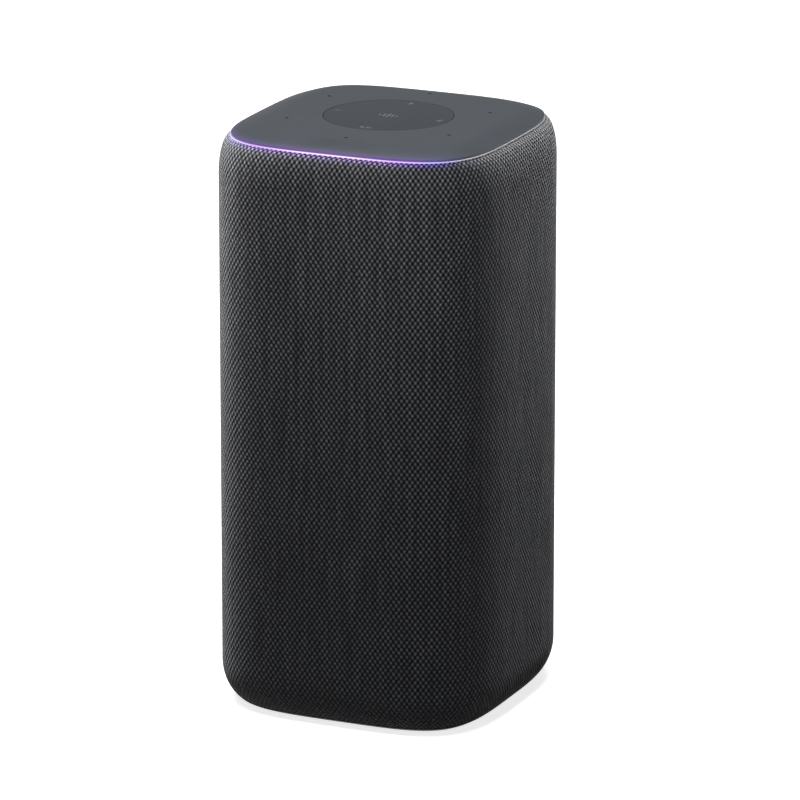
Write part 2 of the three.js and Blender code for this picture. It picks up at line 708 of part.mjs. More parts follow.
// ---- Passive radiators -------------------------------------------------------------------------
/** Adds one radiator that faces along +X of its own turned group. */
function addRadiator(name, angle) {
  const wall = cabinetHalf;
  const inner = radiatorR - RADIATOR_RIM;
  const plateR = inner - ROLL - 2 * GAP;
  const group = new THREE.Group();
  group.rotation.z = angle;
  group.position.z = radiatorZ;
  speaker.add(group);
  const frame = [
    [inner, wall - CABINET_WALL - 0.3],
    [radiatorHole - GAP, wall - CABINET_WALL - 0.3],
    [radiatorHole - GAP, wall + GAP],
    [radiatorR, wall + GAP],
    [radiatorR, wall + 2.5],
    [inner, wall + 2.5],
  ];
  piece(`radiator_${name}_frame`, turnedOnX(frame, ROUND), FINISH.blackPlastic, group);
  const plate = [
    [0, wall - 2.4],
    [plateR, wall - 2.4],
    [plateR, wall + 0.5],
    [plateR - 3, wall + 0.9],
    [0, wall + 0.9],
  ];
  piece(`radiator_${name}_plate`, turnedOnX(plate, ROUND), FINISH.aluminium, group);
  const roll = arc((inner + plateR) / 2, wall - 0.6, ROLL / 2, ROLL / 2, 0, Math.PI, 3);
  const surround = turnedOnX(shellProfile(roll, 0.9), ROUND);
  piece(`radiator_${name}_surround`, surround, FINISH.rubber, group);
}

// ---- Electronics -------------------------------------------------------------------------------
function addElectronics() {
  const turn = Math.cos(Math.PI / 6) + Math.sin(Math.PI / 6);
  const mainHalf = (tweeterFace - TWEETER_DEPTH - 3) / turn;
  const mainZ = midFrameZ + 8;
  const mainTop = mainZ + BOARD_THICK;
  const mainBoard = box([-mainHalf, -mainHalf, mainZ], [mainHalf, mainHalf, mainTop]);
  piece("main_board", mainBoard, FINISH.board);

  const sinkZ = mainTop + GAP;
  const sinkHalf = mainHalf - SINK.border;
  const finPitch = (2 * sinkHalf) / (SINK.fins - 0.5);
  const comb = new THREE.Shape();
  comb.moveTo(-sinkHalf, 0);
  comb.lineTo(sinkHalf, 0);
  for (let i = SINK.fins - 1; i >= 0; i--) {
    const left = -sinkHalf + i * finPitch;
    comb.lineTo(left + finPitch / 2, i === SINK.fins - 1 ? 0.001 : SINK.base);
    comb.lineTo(left + finPitch / 2, SINK.height);
    comb.lineTo(left, SINK.height);
    if (i > 0) comb.lineTo(left, SINK.base);
  }
  comb.closePath();
  const sink = new THREE.ExtrudeGeometry(comb, { depth: 2 * sinkHalf, bevelEnabled: false });
  sink.rotateX(Math.PI / 2).translate(0, sinkHalf, sinkZ);
  piece("heat_sink", sink, FINISH.aluminium);

  const boardX = legReach - LEG_R - 1.5;
  const boardY = trayHalf - TRAY_WALL - 10;
  const boardZ = wellTop + BOARD_LIFT;
  const boardTop = boardZ + BOARD_THICK;
  const powerBoard = box([-boardX, -boardY, boardZ], [boardX, boardY, boardTop]);
  piece("power_board", powerBoard, FINISH.board);
  const onBoard = boardTop + GAP;
  const core = solid(box([-13, -26, onBoard], [9, -4, onBoard + 17]));
  const bobbin = solid(box([-10, -29, onBoard + 2], [6, -1, onBoard + 15]));
  piece("power_transformer", geometryOf(core.add(bobbin)), FINISH.core);
  const can = bar(-14, 12, 14, onBoard + 8, 8, 20);
  piece("bulk_capacitor", can, FINISH.blackPlastic);

  const leadY = cabinetHalf + AIR / 2;
  const route = new THREE.CatmullRomCurve3(
    [
      [0, boardY - 8, onBoard + LEAD_R],
      [0, boardY, onBoard + LEAD_R + 1],
      [0, leadY - 3, onBoard + 11],
      [0, leadY, onBoard + 24],
      [0, leadY, (cabinetZ + cabinetTop) / 2],
      [0, leadY, midFrameZ - 8],
      [0, leadY, midFrameZ + 4],
      [0, leadY - 6, mainZ + 4],
      [0, mainHalf + 8, mainZ + 5],
      [0, mainHalf - 4, mainTop + GAP + LEAD_R],
    ].map((point) => new THREE.Vector3(...point)),
  );
  const section = new THREE.Shape();
  section.absarc(0, 0, LEAD_R, 0, 2 * Math.PI);
  const lead = new THREE.ExtrudeGeometry(section, {
    steps: 26,
    curveSegments: 4,
    bevelEnabled: false,
    extrudePath: route,
  });
  piece("power_lead", lead, FINISH.rubber);

  const antennaX = half - 12;
  const foot = deckTop + GAP;
  const strip = box([antennaX - 0.4, -30, foot], [antennaX + 0.4, -2, foot + 12]);
  piece("antenna", strip, FINISH.blackBoard);
}

// ---- Base --------------------------------------------------------------------------------------
function addBase() {
  const z0 = FOOT_PROUD;
  const floorTop = z0 + FLOOR;
  const grooveTop = FOOT_DEPTH + GAP;
  const rimTop = HEM_Z - GAP;
  const rim = [z0, (z0 + rimTop) / 2, rimTop].map((z) => [skinHalfAt(z), z]);
  let base = solid(
    columned([
      [0, z0],
      [footInner - GAP, z0],
      [footInner - GAP, grooveTop],
      [footOuter + GAP, grooveTop],
      [footOuter + GAP, z0],
      ...rim,
      [trayHalf, rimTop],
      [trayHalf, TRAY_H],
      [trayHalf - TRAY_WALL, TRAY_H],
      [trayHalf - TRAY_WALL, floorTop],
      [0, floorTop],
    ]),
  );
  const { width, wall } = WELL;
  const pocketX = width / 2;
  const box3 = (x, y0, y1, low, high) => solid(box([-x, y0, low], [x, y1, high]));
  const arched = SLOT_W / 2 + HOOD_WALL;
  const hood = box3(arched, wellRear, skinHalfAt(SLOT_H / 2) - 0.2, z0, SLOT_H - SLOT_W / 2);
  const hoodArch = bar(wellRear, skinHalfAt(SLOT_H / 2) - 0.2, 0, SLOT_H - SLOT_W / 2, arched);
  const aboveFloor = box3(arched, 0, WIDTH, z0, HEIGHT);
  base = base.add(hood).add(solid(hoodArch.rotateZ(Math.PI / 2)).intersect(aboveFloor));
  const seatX = pocketX + wall + GAP;
  base = base.subtract(box3(seatX, wellFront - wall - GAP, wellRear + wall + GAP, -1, HEIGHT));
  base = base.subtract(leadArch(0));

  let well = box3(pocketX + wall, wellFront - wall, wellRear + wall, z0, wellTop);
  well = well.subtract(box3(pocketX, wellFront, wellRear, -1, wellTop - wall));
  const { width: inletW, height: inletH, length: inletL, cavity } = INLET;
  const hole = inletW / 2 + GAP;
  const holeLow = inletZ - inletH / 2 - GAP;
  const holeHigh = inletZ + inletH / 2 + GAP;
  well = well.subtract(box3(hole, wellFront - wall - 1, wellFront + 1, holeLow, holeHigh));
  well = well.subtract(leadArch(0));
  piece("plug_well", geometryOf(well), FINISH.blackPlastic);

  const boardX = legReach - LEG_R - 4.5;
  const boardY = trayHalf - TRAY_WALL - 13;
  for (const [sx, sy] of CORNERS) {
    const standoffTop = wellTop + BOARD_LIFT - GAP;
    const standoff = post(sx * boardX, sy * boardY, z0 + 1, standoffTop, STANDOFF_R);
    base = base.add(solid(standoff));
    const [x, y] = [sx * legReach, sy * legReach];
    base = base.subtract(solid(post(x, y, z0 - 1, floorTop + 1, SCREW_R + GAP, 12)));
    base = base.subtract(solid(post(x, y, z0 - 1, z0 + SCREW_HEAD_H + GAP, SCREW_HEAD_R + GAP)));
  }
  piece("base_cover", geometryOf(base), FINISH.blackPlastic);

  let foot = solid(
    columned([
      [footInner, 0],
      [footOuter, 0],
      [footOuter, FOOT_DEPTH],
      [footInner, FOOT_DEPTH],
    ]),
  );
  foot = foot.subtract(leadArch(3));
  piece("foot_ring", geometryOf(foot), FINISH.rubber);

  const inletFace = wellFront - GAP;
  const inletBack = inletFace - inletL;
  const low = inletZ - inletH / 2;
  const high = inletZ + inletH / 2;
  let inlet = solid(box([-inletW / 2, inletBack, low], [inletW / 2, inletFace, high]));
  const lobe = (x) => {
    const tube = bar(inletFace - cavity, inletFace + 1, 0, inletZ, 3.9);
    return solid(tube.rotateZ(Math.PI / 2).translate(x, 0, 0));
  };
  inlet = inlet.subtract(lobe(-PIN_PITCH / 2)).subtract(lobe(PIN_PITCH / 2));
  const bridge = box(
    [-PIN_PITCH / 2, inletFace - cavity, inletZ - 3.3],
    [PIN_PITCH / 2, inletFace + 1, inletZ + 3.3],
  );
  inlet = inlet.subtract(solid(bridge));
  for (const [name, side] of [["left", -1], ["right", 1]]) {
    const x = (side * PIN_PITCH) / 2;
    const through = bar(inletBack - 1, inletFace, 0, inletZ, PIN_R + GAP);
    inlet = inlet.subtract(solid(through.rotateZ(Math.PI / 2).translate(x, 0, 0)));
    const pin = bar(inletBack - 4, inletFace - 3, 0, inletZ, PIN_R).rotateZ(Math.PI / 2);
    piece(`inlet_pin_${name}`, pin.translate(x, 0, 0), FINISH.brass);
  }
  piece("power_inlet", geometryOf(inlet), FINISH.blackPlastic);

  const screw = [
    [0, z0 + 0.4],
    [SCREW_HEAD_R, z0 + 0.4],
    [SCREW_HEAD_R, z0 + SCREW_HEAD_H],
    [SCREW_R, z0 + SCREW_HEAD_H],
    [SCREW_R, z0 + SCREW_LENGTH],
    [0, z0 + SCREW_LENGTH],
  ];
  CORNERS.forEach(([sx, sy], i) => {
    const mesh = piece(`base_screw_${i + 1}`, turned(screw, 12), FINISH.steel);
    mesh.position.set(sx * legReach, sy * legReach, 0);
  });
}

addTop();
addSkin();
addTweeterDeck();
addCabinet();
addWoofer();
addRadiator("right", 0);
addRadiator("left", Math.PI);
addElectronics();
addBase();

export default speaker;
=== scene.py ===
"""Looks of a tabletop smart speaker.

A tall rounded-square column in a woven sleeve, with a domed cover, a touch disc and a light ring on
top and, inside, a woofer, two passive radiators, three tweeters and their electronics. Metres, +Z up.
The front is -Y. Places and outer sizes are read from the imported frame.
"""

import functools
import json
import logging
import math
from dataclasses import dataclass
from enum import Enum

import bmesh
import bpy
import numpy as np
from mathutils import Matrix, Vector
from numpy.typing import ArrayLike


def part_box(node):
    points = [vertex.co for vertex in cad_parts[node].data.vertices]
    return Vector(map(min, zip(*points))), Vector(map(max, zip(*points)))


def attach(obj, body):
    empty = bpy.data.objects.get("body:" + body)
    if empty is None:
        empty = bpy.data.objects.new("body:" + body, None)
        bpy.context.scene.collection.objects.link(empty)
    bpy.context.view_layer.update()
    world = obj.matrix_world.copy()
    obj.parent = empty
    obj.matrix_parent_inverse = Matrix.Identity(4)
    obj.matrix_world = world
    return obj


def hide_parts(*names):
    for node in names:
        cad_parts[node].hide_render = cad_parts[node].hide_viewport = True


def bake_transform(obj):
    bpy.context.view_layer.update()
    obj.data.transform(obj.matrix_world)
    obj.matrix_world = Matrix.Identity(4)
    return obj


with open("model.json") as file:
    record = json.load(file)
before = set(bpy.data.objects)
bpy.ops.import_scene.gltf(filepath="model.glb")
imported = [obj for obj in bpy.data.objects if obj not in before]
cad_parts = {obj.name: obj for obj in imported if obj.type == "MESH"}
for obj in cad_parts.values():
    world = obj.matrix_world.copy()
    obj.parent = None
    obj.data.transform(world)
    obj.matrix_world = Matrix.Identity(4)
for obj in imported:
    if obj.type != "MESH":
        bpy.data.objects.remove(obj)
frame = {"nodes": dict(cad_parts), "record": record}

LOG = logging.getLogger("speaker")
MM = 0.001
HOUSING = "housing"
SHARP = 40  # faces that meet at more degrees than this keep a crisp edge
ROD_SIDES = 24
DOUBLED = 1e-6  # points closer than this, in metres, are one
SQUARE = ((-1, -1), (1, -1), (1, 1), (-1, 1))  # the way to each corner of a square, by sign
Colour = tuple[float, float, float]
Piece = bpy.types.Object
Socket = bpy.types.NodeSocket


class Merge(Enum):
    """What a tool does to the piece it meets."""

    CUT = "DIFFERENCE"
    JOIN = "UNION"
    KEEP = "INTERSECT"


def srgb(red: int, green: int, blue: int) -> Colour:
    """A screen colour as linear light.

    Args:
        red, green, blue: The parts of the colour, from 0 to 255.

    Returns:
        The three parts raised to the power 2.2.
    """
    return tuple((part / 255) ** 2.2 for part in (red, green, blue))


# ---- Shapes --------------------------------------------------------------------------------------
def arc(centre: tuple[float, float], radii: tuple[float, float], start: float, end: float,
        steps: int) -> np.ndarray:
    """Points along part of an ellipse: centre plus (a cos t, b sin t).

    Args:
        centre: The ellipse's middle.
        radii: Its half-widths a and b.
        start, end: The first and last t, in degrees.
        steps: How many stretches the arc has.

    Returns:
        An array of steps + 1 points.
    """
    turn = np.radians(np.linspace(start, end, steps + 1))
    return np.stack((centre[0] + radii[0] * np.cos(turn), centre[1] + radii[1] * np.sin(turn)), axis=-1)


def eased(profile: ArrayLike, radius: float, steps: int = 3, closed: bool = True) -> np.ndarray:
    """Rounds every corner of an outline.

    Each corner becomes a quadratic curve (1-k)^2 a + 2k(1-k) p + k^2 b, where a and b lie the radius
    before and after the corner p, or two fifths of the side where that is less.

    Args:
        profile: The outline's corners, in order.
        radius: How far the rounding reaches along each side.
        steps: Stretches in each curve.
        closed: Whether the last corner joins the first. If not, the two ends stay as they are.

    Returns:
        The rounded outline.
    """
    corner = np.asarray(profile, float)

    def towards(other: np.ndarray) -> np.ndarray:
        """The point the radius from each corner along the side to the other one."""
        side = other - corner
        length = np.maximum(np.linalg.norm(side, axis=1, keepdims=True), 1e-9)
        return corner + side / length * np.minimum(radius, 0.4 * length)

    before, after = towards(np.roll(corner, 1, axis=0)), towards(np.roll(corner, -1, axis=0))
    k = np.linspace(0, 1, steps + 1)[None, :, None]
    curve = (1 - k) ** 2 * before[:, None] + 2 * k * (1 - k) * corner[:, None] + k**2 * after[:, None]
    if closed:
        return curve.reshape(-1, 2)
    return np.vstack((corner[:1], curve[1:-1].reshape(-1, 2), corner[-1:]))


def turned(profile: ArrayLike, columns: int = 96) -> np.ndarray:
    """Rings of an outline turned about Z: (r cos a, r sin a, z) for each (r, z) and each angle a."""
    profile = np.asarray(profile, float)
    angle = np.linspace(0, 2 * math.pi, columns, endpoint=False)
    x, y = profile[:, :1] * np.cos(angle), profile[:, :1] * np.sin(angle)
    return np.stack((x, y, np.repeat(profile[:, 1:], columns, axis=1)), axis=-1)


def laid(points: np.ndarray, bearing: float, height: float) -> np.ndarray:
    """Turns a shape from upright to facing outwards.

    A point (x, y, z) goes z outwards along the bearing, x to its side and y up from the height.

    Args:
        points: The shape about the Z axis.
        bearing: Direction that it faces, in radians from +X.
        height: Height of its axis.

    Returns:
        The moved points.
    """
    out = np.array((math.cos(bearing), math.sin(bearing), 0))
    side = np.array((-math.sin(bearing), math.cos(bearing), 0))
    x, y, z = (points[..., axis, None] for axis in range(3))
    return z * out + x * side + y * np.array((0, 0, 1)) + np.array((0, 0, height))


def ring_faces(rows: int, columns: int, closed: bool) -> np.ndarray:
    """Four-sided faces over a grid whose rows are rings of points.

    Args:
        rows: How many rings there are.
        columns: Points in each ring.
        closed: Whether the last ring joins the first.

    Returns:
        The four vertex numbers of each face.
    """
    index = np.arange(rows * columns).reshape(rows, columns)
    if closed:
        index = np.vstack((index, index[:1]))
    after = np.roll(index, -1, axis=1)
    return np.stack((index[:-1], after[:-1], after[1:], index[1:]), axis=-1).reshape(-1, 4)


def built(name: str, points: np.ndarray, faces: list, tidy: bool = True, sharp: float = SHARP) -> Piece:
    """Makes an object from points and faces.

    Args:
        name: The piece's name.
        points: Its vertices.
        faces: The vertex numbers of each face.
        tidy: Whether doubled points are merged and the faces turned outwards.
        sharp: Faces that meet at more than this angle, in degrees, keep a crisp edge.

    Returns:
        The object, at the origin.
    """
    mesh = bpy.data.meshes.new(name)
    mesh.from_pydata(np.reshape(points, (-1, 3)).tolist(), [], [list(face) for face in faces])
    if tidy:
        shape = bmesh.new()
        shape.from_mesh(mesh)
        bmesh.ops.remove_doubles(shape, verts=shape.verts, dist=DOUBLED)
        bmesh.ops.recalc_face_normals(shape, faces=shape.faces)
        shape.to_mesh(mesh)
        shape.free()
    mesh.shade_smooth()
    mesh.set_sharp_from_angle(angle=math.radians(sharp))
    piece = bpy.data.objects.new(name, mesh)
    bpy.context.scene.collection.objects.link(piece)
    return piece


def from_rings(name: str, rings: np.ndarray, closed: bool = False, **options) -> Piece:
    """Makes a closed solid from rings of points that end in poles, or join up where closed is true."""
    return built(name, rings, ring_faces(*rings.shape[:2], closed).tolist(), **options)


def prism_faces(count: int, start: int = 0) -> list[list[int]]:
    """Faces of a prism between two outlines whose vertices follow each other.

    Args:
        count: Corners of each outline.
        start: Number of the first vertex.

    Returns:
        Its sides, then its two ends.
    """
    ring = np.arange(count) + start
    after = np.roll(ring, -1)
    sides = np.stack((ring, after, after + count, ring + count), axis=-1)
    return [*sides.tolist(), ring[::-1].tolist(), (ring + count).tolist()]


def prisms(name: str, outlines: list[np.ndarray], low: float, high: float) -> Piece:
    """Makes one object of upright prisms.

    Args:
        name: The piece's name.
        outlines: One array of (x, y) corners for each prism, anticlockwise.
        low, high: Heights of the two ends.

    Returns:
        The object.
    """
    points, faces, start = [], [], 0
    for outline in outlines:
        count = len(outline)
        for height in (low, high):
            points.append(np.column_stack((outline, np.full(count, height))))
        faces += prism_faces(count, start)
        start += 2 * count
    return built(name, np.vstack(points), faces, tidy=False)


def blocks(name: str, centres: np.ndarray, sizes: np.ndarray, bevel: float = 0.15 * MM) -> Piece:
    """Makes one object of many small boxes, with bevelled edges.

    Args:
        name: The piece's name.
        centres: The middle of each box.
        sizes: The three sides of each box.
        bevel: Width of the bevel.

    Returns:
        The object.
    """
    corner = np.array([(x, y, z) for z in (-1, 1) for x, y in SQUARE]) / 2
    quads = np.array([(3, 2, 1, 0), (4, 5, 6, 7), (0, 1, 5, 4), (1, 2, 6, 5), (2, 3, 7, 6), (3, 0, 4, 7)])
    centres, sizes = np.atleast_2d(centres), np.broadcast_to(sizes, np.atleast_2d(centres).shape)
    points = centres[:, None] + corner[None] * sizes[:, None]
    faces = (quads[None] + 8 * np.arange(len(centres))[:, None, None]).reshape(-1, 4)
    piece = built(name, points, faces.tolist(), tidy=False)
    edge = piece.modifiers.new("edge", "BEVEL")
    edge.width, edge.segments = bevel, 2
    return baked(piece)


def baked(piece: Piece) -> Piece:
    """Applies every modifier of a piece."""
    mesh = bpy.data.meshes.new_from_object(piece.evaluated_get(bpy.context.evaluated_depsgraph_get()))
    piece.modifiers.clear()
    piece.data = mesh
    mesh.name = piece.name
    return piece


def carved(piece: Piece, tool: Piece, how: Merge = Merge.CUT) -> Piece:
    """Changes a piece with a tool, and throws the tool away.

    Args:
        piece: The piece to change.
        tool: A closed solid.
        how: What the tool does to it.

    Returns:
        The piece.
    """
    step = piece.modifiers.new("step", "BOOLEAN")
    step.operation, step.solver, step.object = how.value, "EXACT", tool
    baked(piece)
    bpy.data.objects.remove(tool)
    piece.data.set_sharp_from_angle(angle=math.radians(SHARP))
    return piece


def rod(name: str, x: float, y: float, low: float, high: float, radius: float) -> Piece:
    """An upright cylinder.

    Args:
        name: Its name.
        x, y: Its axis.
        low, high: Heights of its ends.
        radius: Its radius.

    Returns:
        The cylinder as a solid.
    """
    rings = turned([(0, low), (radius, low), (radius, high), (0, high)], ROD_SIDES)
    return from_rings(name, rings + np.array((x, y, 0)))


@dataclass(frozen=True)
class Column:
    """The rounded-square column whose skin every outer piece follows.

    Its section is |x|^n + |y|^n = 1, moved in square to itself for a smaller reach. From the side it
    is upright, with a quarter of an ellipse at its foot and another at its top.
    """

    half: float
    shoulder_z: float
    squareness: float = 3.6
    heel_in: float = 18 * MM
    heel_up: float = 22 * MM
    shoulder_in: float = 5.6 * MM
    shoulder_down: float = 18 * MM
    offset_limit: float = 20 * MM
    fine: int = 2000  # steps in which the girth is measured
    side_points: int = 400  # in each quarter of an ellipse

    def section(self, reach: ArrayLike, bearing: ArrayLike) -> np.ndarray:
        """Points of the section.

        The unit point u at a bearing b is (cos b, sin b) / (|cos b|^n + |sin b|^n)^(1/n) and its normal
        is u^(n-1). The point is half u minus the inset along the normal, scaled past the offset limit.

        Args:
            reach: Half-widths of the section.
            bearing: Directions from the axis, in radians, before the inset.

        Returns:
            An array of (x, y).
        """
        reach, bearing = np.broadcast_arrays(np.asarray(reach, float), bearing)
        straight = np.stack((np.cos(bearing), np.sin(bearing)), axis=-1)
        size = (np.abs(straight) ** self.squareness).sum(-1, keepdims=True) ** (1 / self.squareness)
        unit = straight / size
        normal = np.sign(unit) * np.abs(unit) ** (self.squareness - 1)
        normal /= np.linalg.norm(normal, axis=-1, keepdims=True)
        inset = np.minimum(self.half - reach, self.offset_limit)[..., None]
        return (self.half * unit - inset * normal) * (reach[..., None] / (self.half - inset))

    def bearings(self, columns: int) -> np.ndarray:
        """Bearings that share the girth into equal lengths, starting at the right side."""
        fine = np.linspace(0, 2 * math.pi, 10 * self.fine + 1)
        steps = np.linalg.norm(np.diff(self.section(self.half, fine), axis=0), axis=1)
        along = np.concatenate(([0], np.cumsum(steps)))
        return np.interp(np.linspace(0, along[-1], columns, endpoint=False), along, fine)

    def girth(self) -> float:
        """Length round the column at its widest."""
        fine = self.section(self.half, np.linspace(0, 2 * math.pi, self.fine + 1))
        return float(np.linalg.norm(np.diff(fine, axis=0), axis=1).sum())

    def carried(self, profile: ArrayLike, columns: int = 240) -> np.ndarray:
        """Rings of an outline of (reach, height) carried round the section."""
        profile = np.asarray(profile, float)
        around = self.section(profile[:, :1], self.bearings(columns)[None])
        height = np.repeat(profile[:, 1:], columns, axis=1)
        return np.concatenate((around, height[..., None]), axis=-1)

    def skin(self, low: float, high: float) -> tuple[np.ndarray, np.ndarray, np.ndarray]:
        """The side line from one height to another.

        Args:
            low, high: Its ends, in the heel and in the shoulder.

        Returns:
            The length along the line, its points (reach, height), and its outward normals.
        """
        heel = np.linspace(math.asin(1 - low / self.heel_up), 0, self.side_points)
        shoulder = math.asin(1 - (self.shoulder_z - high) / self.shoulder_down)
        top = np.linspace(0, shoulder, self.side_points)
        heel_reach = self.half - self.heel_in * (1 - np.cos(heel))
        top_reach = self.half - self.shoulder_in * (1 - np.cos(top))
        points = np.vstack((
            np.column_stack((heel_reach, self.heel_up * (1 - np.sin(heel)))),
            np.column_stack((top_reach, self.shoulder_z - self.shoulder_down * (1 - np.sin(top)))),
        ))
        normals = np.vstack((
            np.column_stack((np.cos(heel) / self.heel_in, -np.sin(heel) / self.heel_up)),
            np.column_stack((np.cos(top) / self.shoulder_in, np.sin(top) / self.shoulder_down)),
        ))
        normals /= np.linalg.norm(normals, axis=1, keepdims=True)
        length = np.concatenate(([0], np.cumsum(np.linalg.norm(np.diff(points, axis=0), axis=1))))
        return length, points, normals


# ---- Finishes ------------------------------------------------------------------------------------
def shade(colour: Colour, factor: float) -> Colour:
    """The colour times a factor."""
    return tuple(part * factor for part in colour)


def ring_level() -> float:
    """Height of the top of the light ring."""
    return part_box("light_ring")[1].z


LAMP_REACH = 120  # degrees each way that the lamp colours cover
LILAC, PURPLE, PINK = srgb(222, 212, 248), srgb(226, 180, 250), srgb(238, 200, 255)
WHITE, MAUVE, VIOLET = srgb(255, 234, 255), srgb(214, 166, 255), srgb(160, 124, 232)
LAMP_COLOURS = (
    (-110, (0.0, 0.0, 0.0)), (-80, shade(LILAC, 0.3)), (-50, LILAC), (-41, LILAC), (-34, PURPLE), (-25, PINK),
    (-16, WHITE), (10, WHITE), (22, PINK), (34, MAUVE), (42, VIOLET), (48, shade(VIOLET, 0.3)),
    (54, (0.0, 0.0, 0.0)),
)
BANDS = 0.31  # scale of a wave texture times the pitch of its bands
PAINTED_SPILL = (0.42, 0.16, 0.9)  # the lamps' own colour, in the glow painted where they would light a neighbour


class Shader:
    """The node tree of one material, built a node at a time."""

    def __init__(self, name: str, **sockets) -> None:
        """Starts a material.

        Args:
            name: The material's name.
            sockets: Values of the surface's own sockets, by name with _ for a space.
        """
        self.material = bpy.data.materials.new(name)
        self.material.use_nodes = True
        self.nodes = self.material.node_tree.nodes
        self.surface = self.nodes["Principled BSDF"]
        self.set(**sockets)

    def set(self, **sockets) -> None:
        """Sets or links sockets of the surface, by name with _ for a space."""
        for name, value in sockets.items():
            self.feed(self.surface.inputs[name.replace("_", " ")], value)

    def feed(self, socket: Socket, value: object) -> None:
        """Gives a socket a number, a colour, a vector or another node's output."""
        if isinstance(value, Socket):
            self.material.node_tree.links.new(value, socket)
        elif isinstance(value, tuple) and socket.type == "RGBA":
            socket.default_value = (*value, 1)
        else:
            socket.default_value = value

    def add(self, kind: str, inputs: dict | None = None, **options) -> bpy.types.Node:
        """Adds a node.

        Args:
            kind: Its type, without the ShaderNode in front.
            inputs: Values of its sockets, by name or number.
            options: Its settings.

        Returns:
            The node.
        """
        node = self.nodes.new(f"ShaderNode{kind}")
        for name, value in options.items():
            setattr(node, name, value)
        for name, value in (inputs or {}).items():
            self.feed(node.inputs[name], value)
        return node

    def place(self, stretch: tuple[float, float, float] = (1, 1, 1), source: str = "Object") -> Socket:
        """The place on the piece, scaled along each axis."""
        where = self.add("TexCoord").outputs[source]
        return self.add("Mapping", {"Vector": where, "Scale": stretch}).outputs[0]

    def noise(self, size: float, vector: Socket, detail: float = 2.0) -> Socket:
        """Cloudy noise whose blots are about this size."""
        return self.add("TexNoise", {"Vector": vector, "Scale": 1 / size, "Detail": detail}).outputs[0]

    def calc(self, operation: str, *values: float | Socket) -> Socket:
        """One step of arithmetic."""
        return self.add("Math", dict(enumerate(values)), operation=operation).outputs[0]

    def ramp(self, value: Socket, *stops: tuple[float, Colour]) -> Socket:
        """A colour for each value, blended between the stops."""
        node = self.add("ValToRGB", {0: value})
        marks = node.color_ramp.elements
        while len(marks) < len(stops):
            marks.new(0.5)
        for mark, (position, colour) in zip(marks, stops):
            mark.position, mark.color = position, (*colour, 1)
        return node.outputs[0]

    def grey(self, value: Socket) -> Socket:
        """A grey of this brightness."""
        return self.add("CombineColor", {0: value, 1: value, 2: value}).outputs[0]

    def spread(self, value: Socket, low: float, high: float,
               source: tuple[float, float] = (0.3, 0.7)) -> Socket:
        """The value moved from its source range to another."""
        inputs = {0: value, 1: source[0], 2: source[1], 3: low, 4: high}
        return self.add("MapRange", inputs).outputs[0]

    def mixed(self, kind: str, share: float | Socket, first: Socket, second: object) -> Socket:
        """Two colours mixed."""
        node = self.add("Mix", {0: share, 6: first, 7: second}, data_type="RGBA", blend_type=kind,
                        clamp_result=True)
        return node.outputs[2]

    def lamps(self) -> Socket:
        """The colour of the lamps for each bearing seen from above, 0 at the front, positive rightwards."""
        apart = self.add("SeparateXYZ", {0: self.place()}).outputs
        bearing = self.calc("ARCTAN2", apart[0], self.calc("MULTIPLY", apart[1], -1.0))
        reach = math.radians(LAMP_REACH)
        share = self.spread(bearing, 0, 1, (-reach, reach))
        return self.ramp(share, *(((degrees / LAMP_REACH + 1) / 2, tint) for degrees, tint in LAMP_COLOURS))

    def halo(self, dark: float, bright: float) -> Socket:
        """The lamps' light on a neighbour, painted as a glow that grows from one height to the other."""
        height = self.add("SeparateXYZ", {0: self.place()}).outputs[2]
        fade = self.calc("POWER", self.spread(height, 0, 1, (dark, bright)), 2.0)
        lit = self.mixed("MULTIPLY", 1.0, self.lamps(), self.grey(fade))
        return self.mixed("MULTIPLY", 1.0, lit, PAINTED_SPILL)

    def bump(self, height: Socket, depth: float, strength: float = 1.0) -> None:
        """Raises the surface by the height times the depth."""
        node = self.add("Bump", {"Height": height, "Distance": depth, "Strength": strength})
        self.set(Normal=node.outputs[0])


@dataclass(frozen=True)
class Finish:
    """What a surface is made of. A kind of finish says how its nodes are built."""

    name: str
    colour: Colour

    def surface(self) -> Shader:
        """Builds its nodes."""
        raise NotImplementedError

    def toned(self, shader: Shader, value: Socket, *stops: tuple[float, float]) -> Socket:
        """Shades of the finish's colour for each value.

        Args:
            shader: The material.
            value: What the shade depends on.
            stops: Pairs of a value and the factor of the colour there.

        Returns:
            The colour.
        """
        return shader.ramp(value, *((position, shade(self.colour, factor)) for position, factor in stops))


@dataclass(frozen=True)
class Moulded(Finish):
    """Moulded plastic or rubber: a fine spark-eroded grain, faint clouds of colour and gloss."""

    roughness: float
    grain: float = 0.35 * MM
    depth: float = 0.02 * MM
    cloud: float = 22 * MM
    contrast: float = 0.08
    specular: float = 0.5

    def surface(self) -> Shader:
        """Builds its nodes."""
        shader = Shader(self.name, Specular_IOR_Level=self.specular)
        place = shader.place()
        cloud = shader.noise(self.cloud, place, 4)
        stops = (0.3, 1 - self.contrast), (0.7, 1 + self.contrast)
        shader.set(Base_Color=self.toned(shader, cloud, *stops))
        shader.set(Roughness=shader.spread(cloud, self.roughness - 0.04, self.roughness + 0.04))
        shader.bump(shader.noise(self.grain, place), self.depth)
        return shader


@dataclass(frozen=True)
class Metal(Finish):
    """Drawn or plated metal with fine drawing lines and a little tarnish."""

    roughness: float
    lines: tuple[float, float, float] = (1, 1, 14)
    pitch: float = 2.5 * MM

    def surface(self) -> Shader:
        """Builds its nodes."""
        shader = Shader(self.name, Metallic=1.0)
        lines = shader.noise(self.pitch, shader.place(self.lines), 5)
        tarnish = shader.noise(9 * MM, shader.place(), 3)
        shader.set(Base_Color=self.toned(shader, tarnish, (0.3, 0.86), (0.7, 1.06)))
        shader.set(Roughness=shader.spread(lines, self.roughness - 0.08, self.roughness + 0.1))
        shader.bump(lines, 0.02 * MM)
        return shader


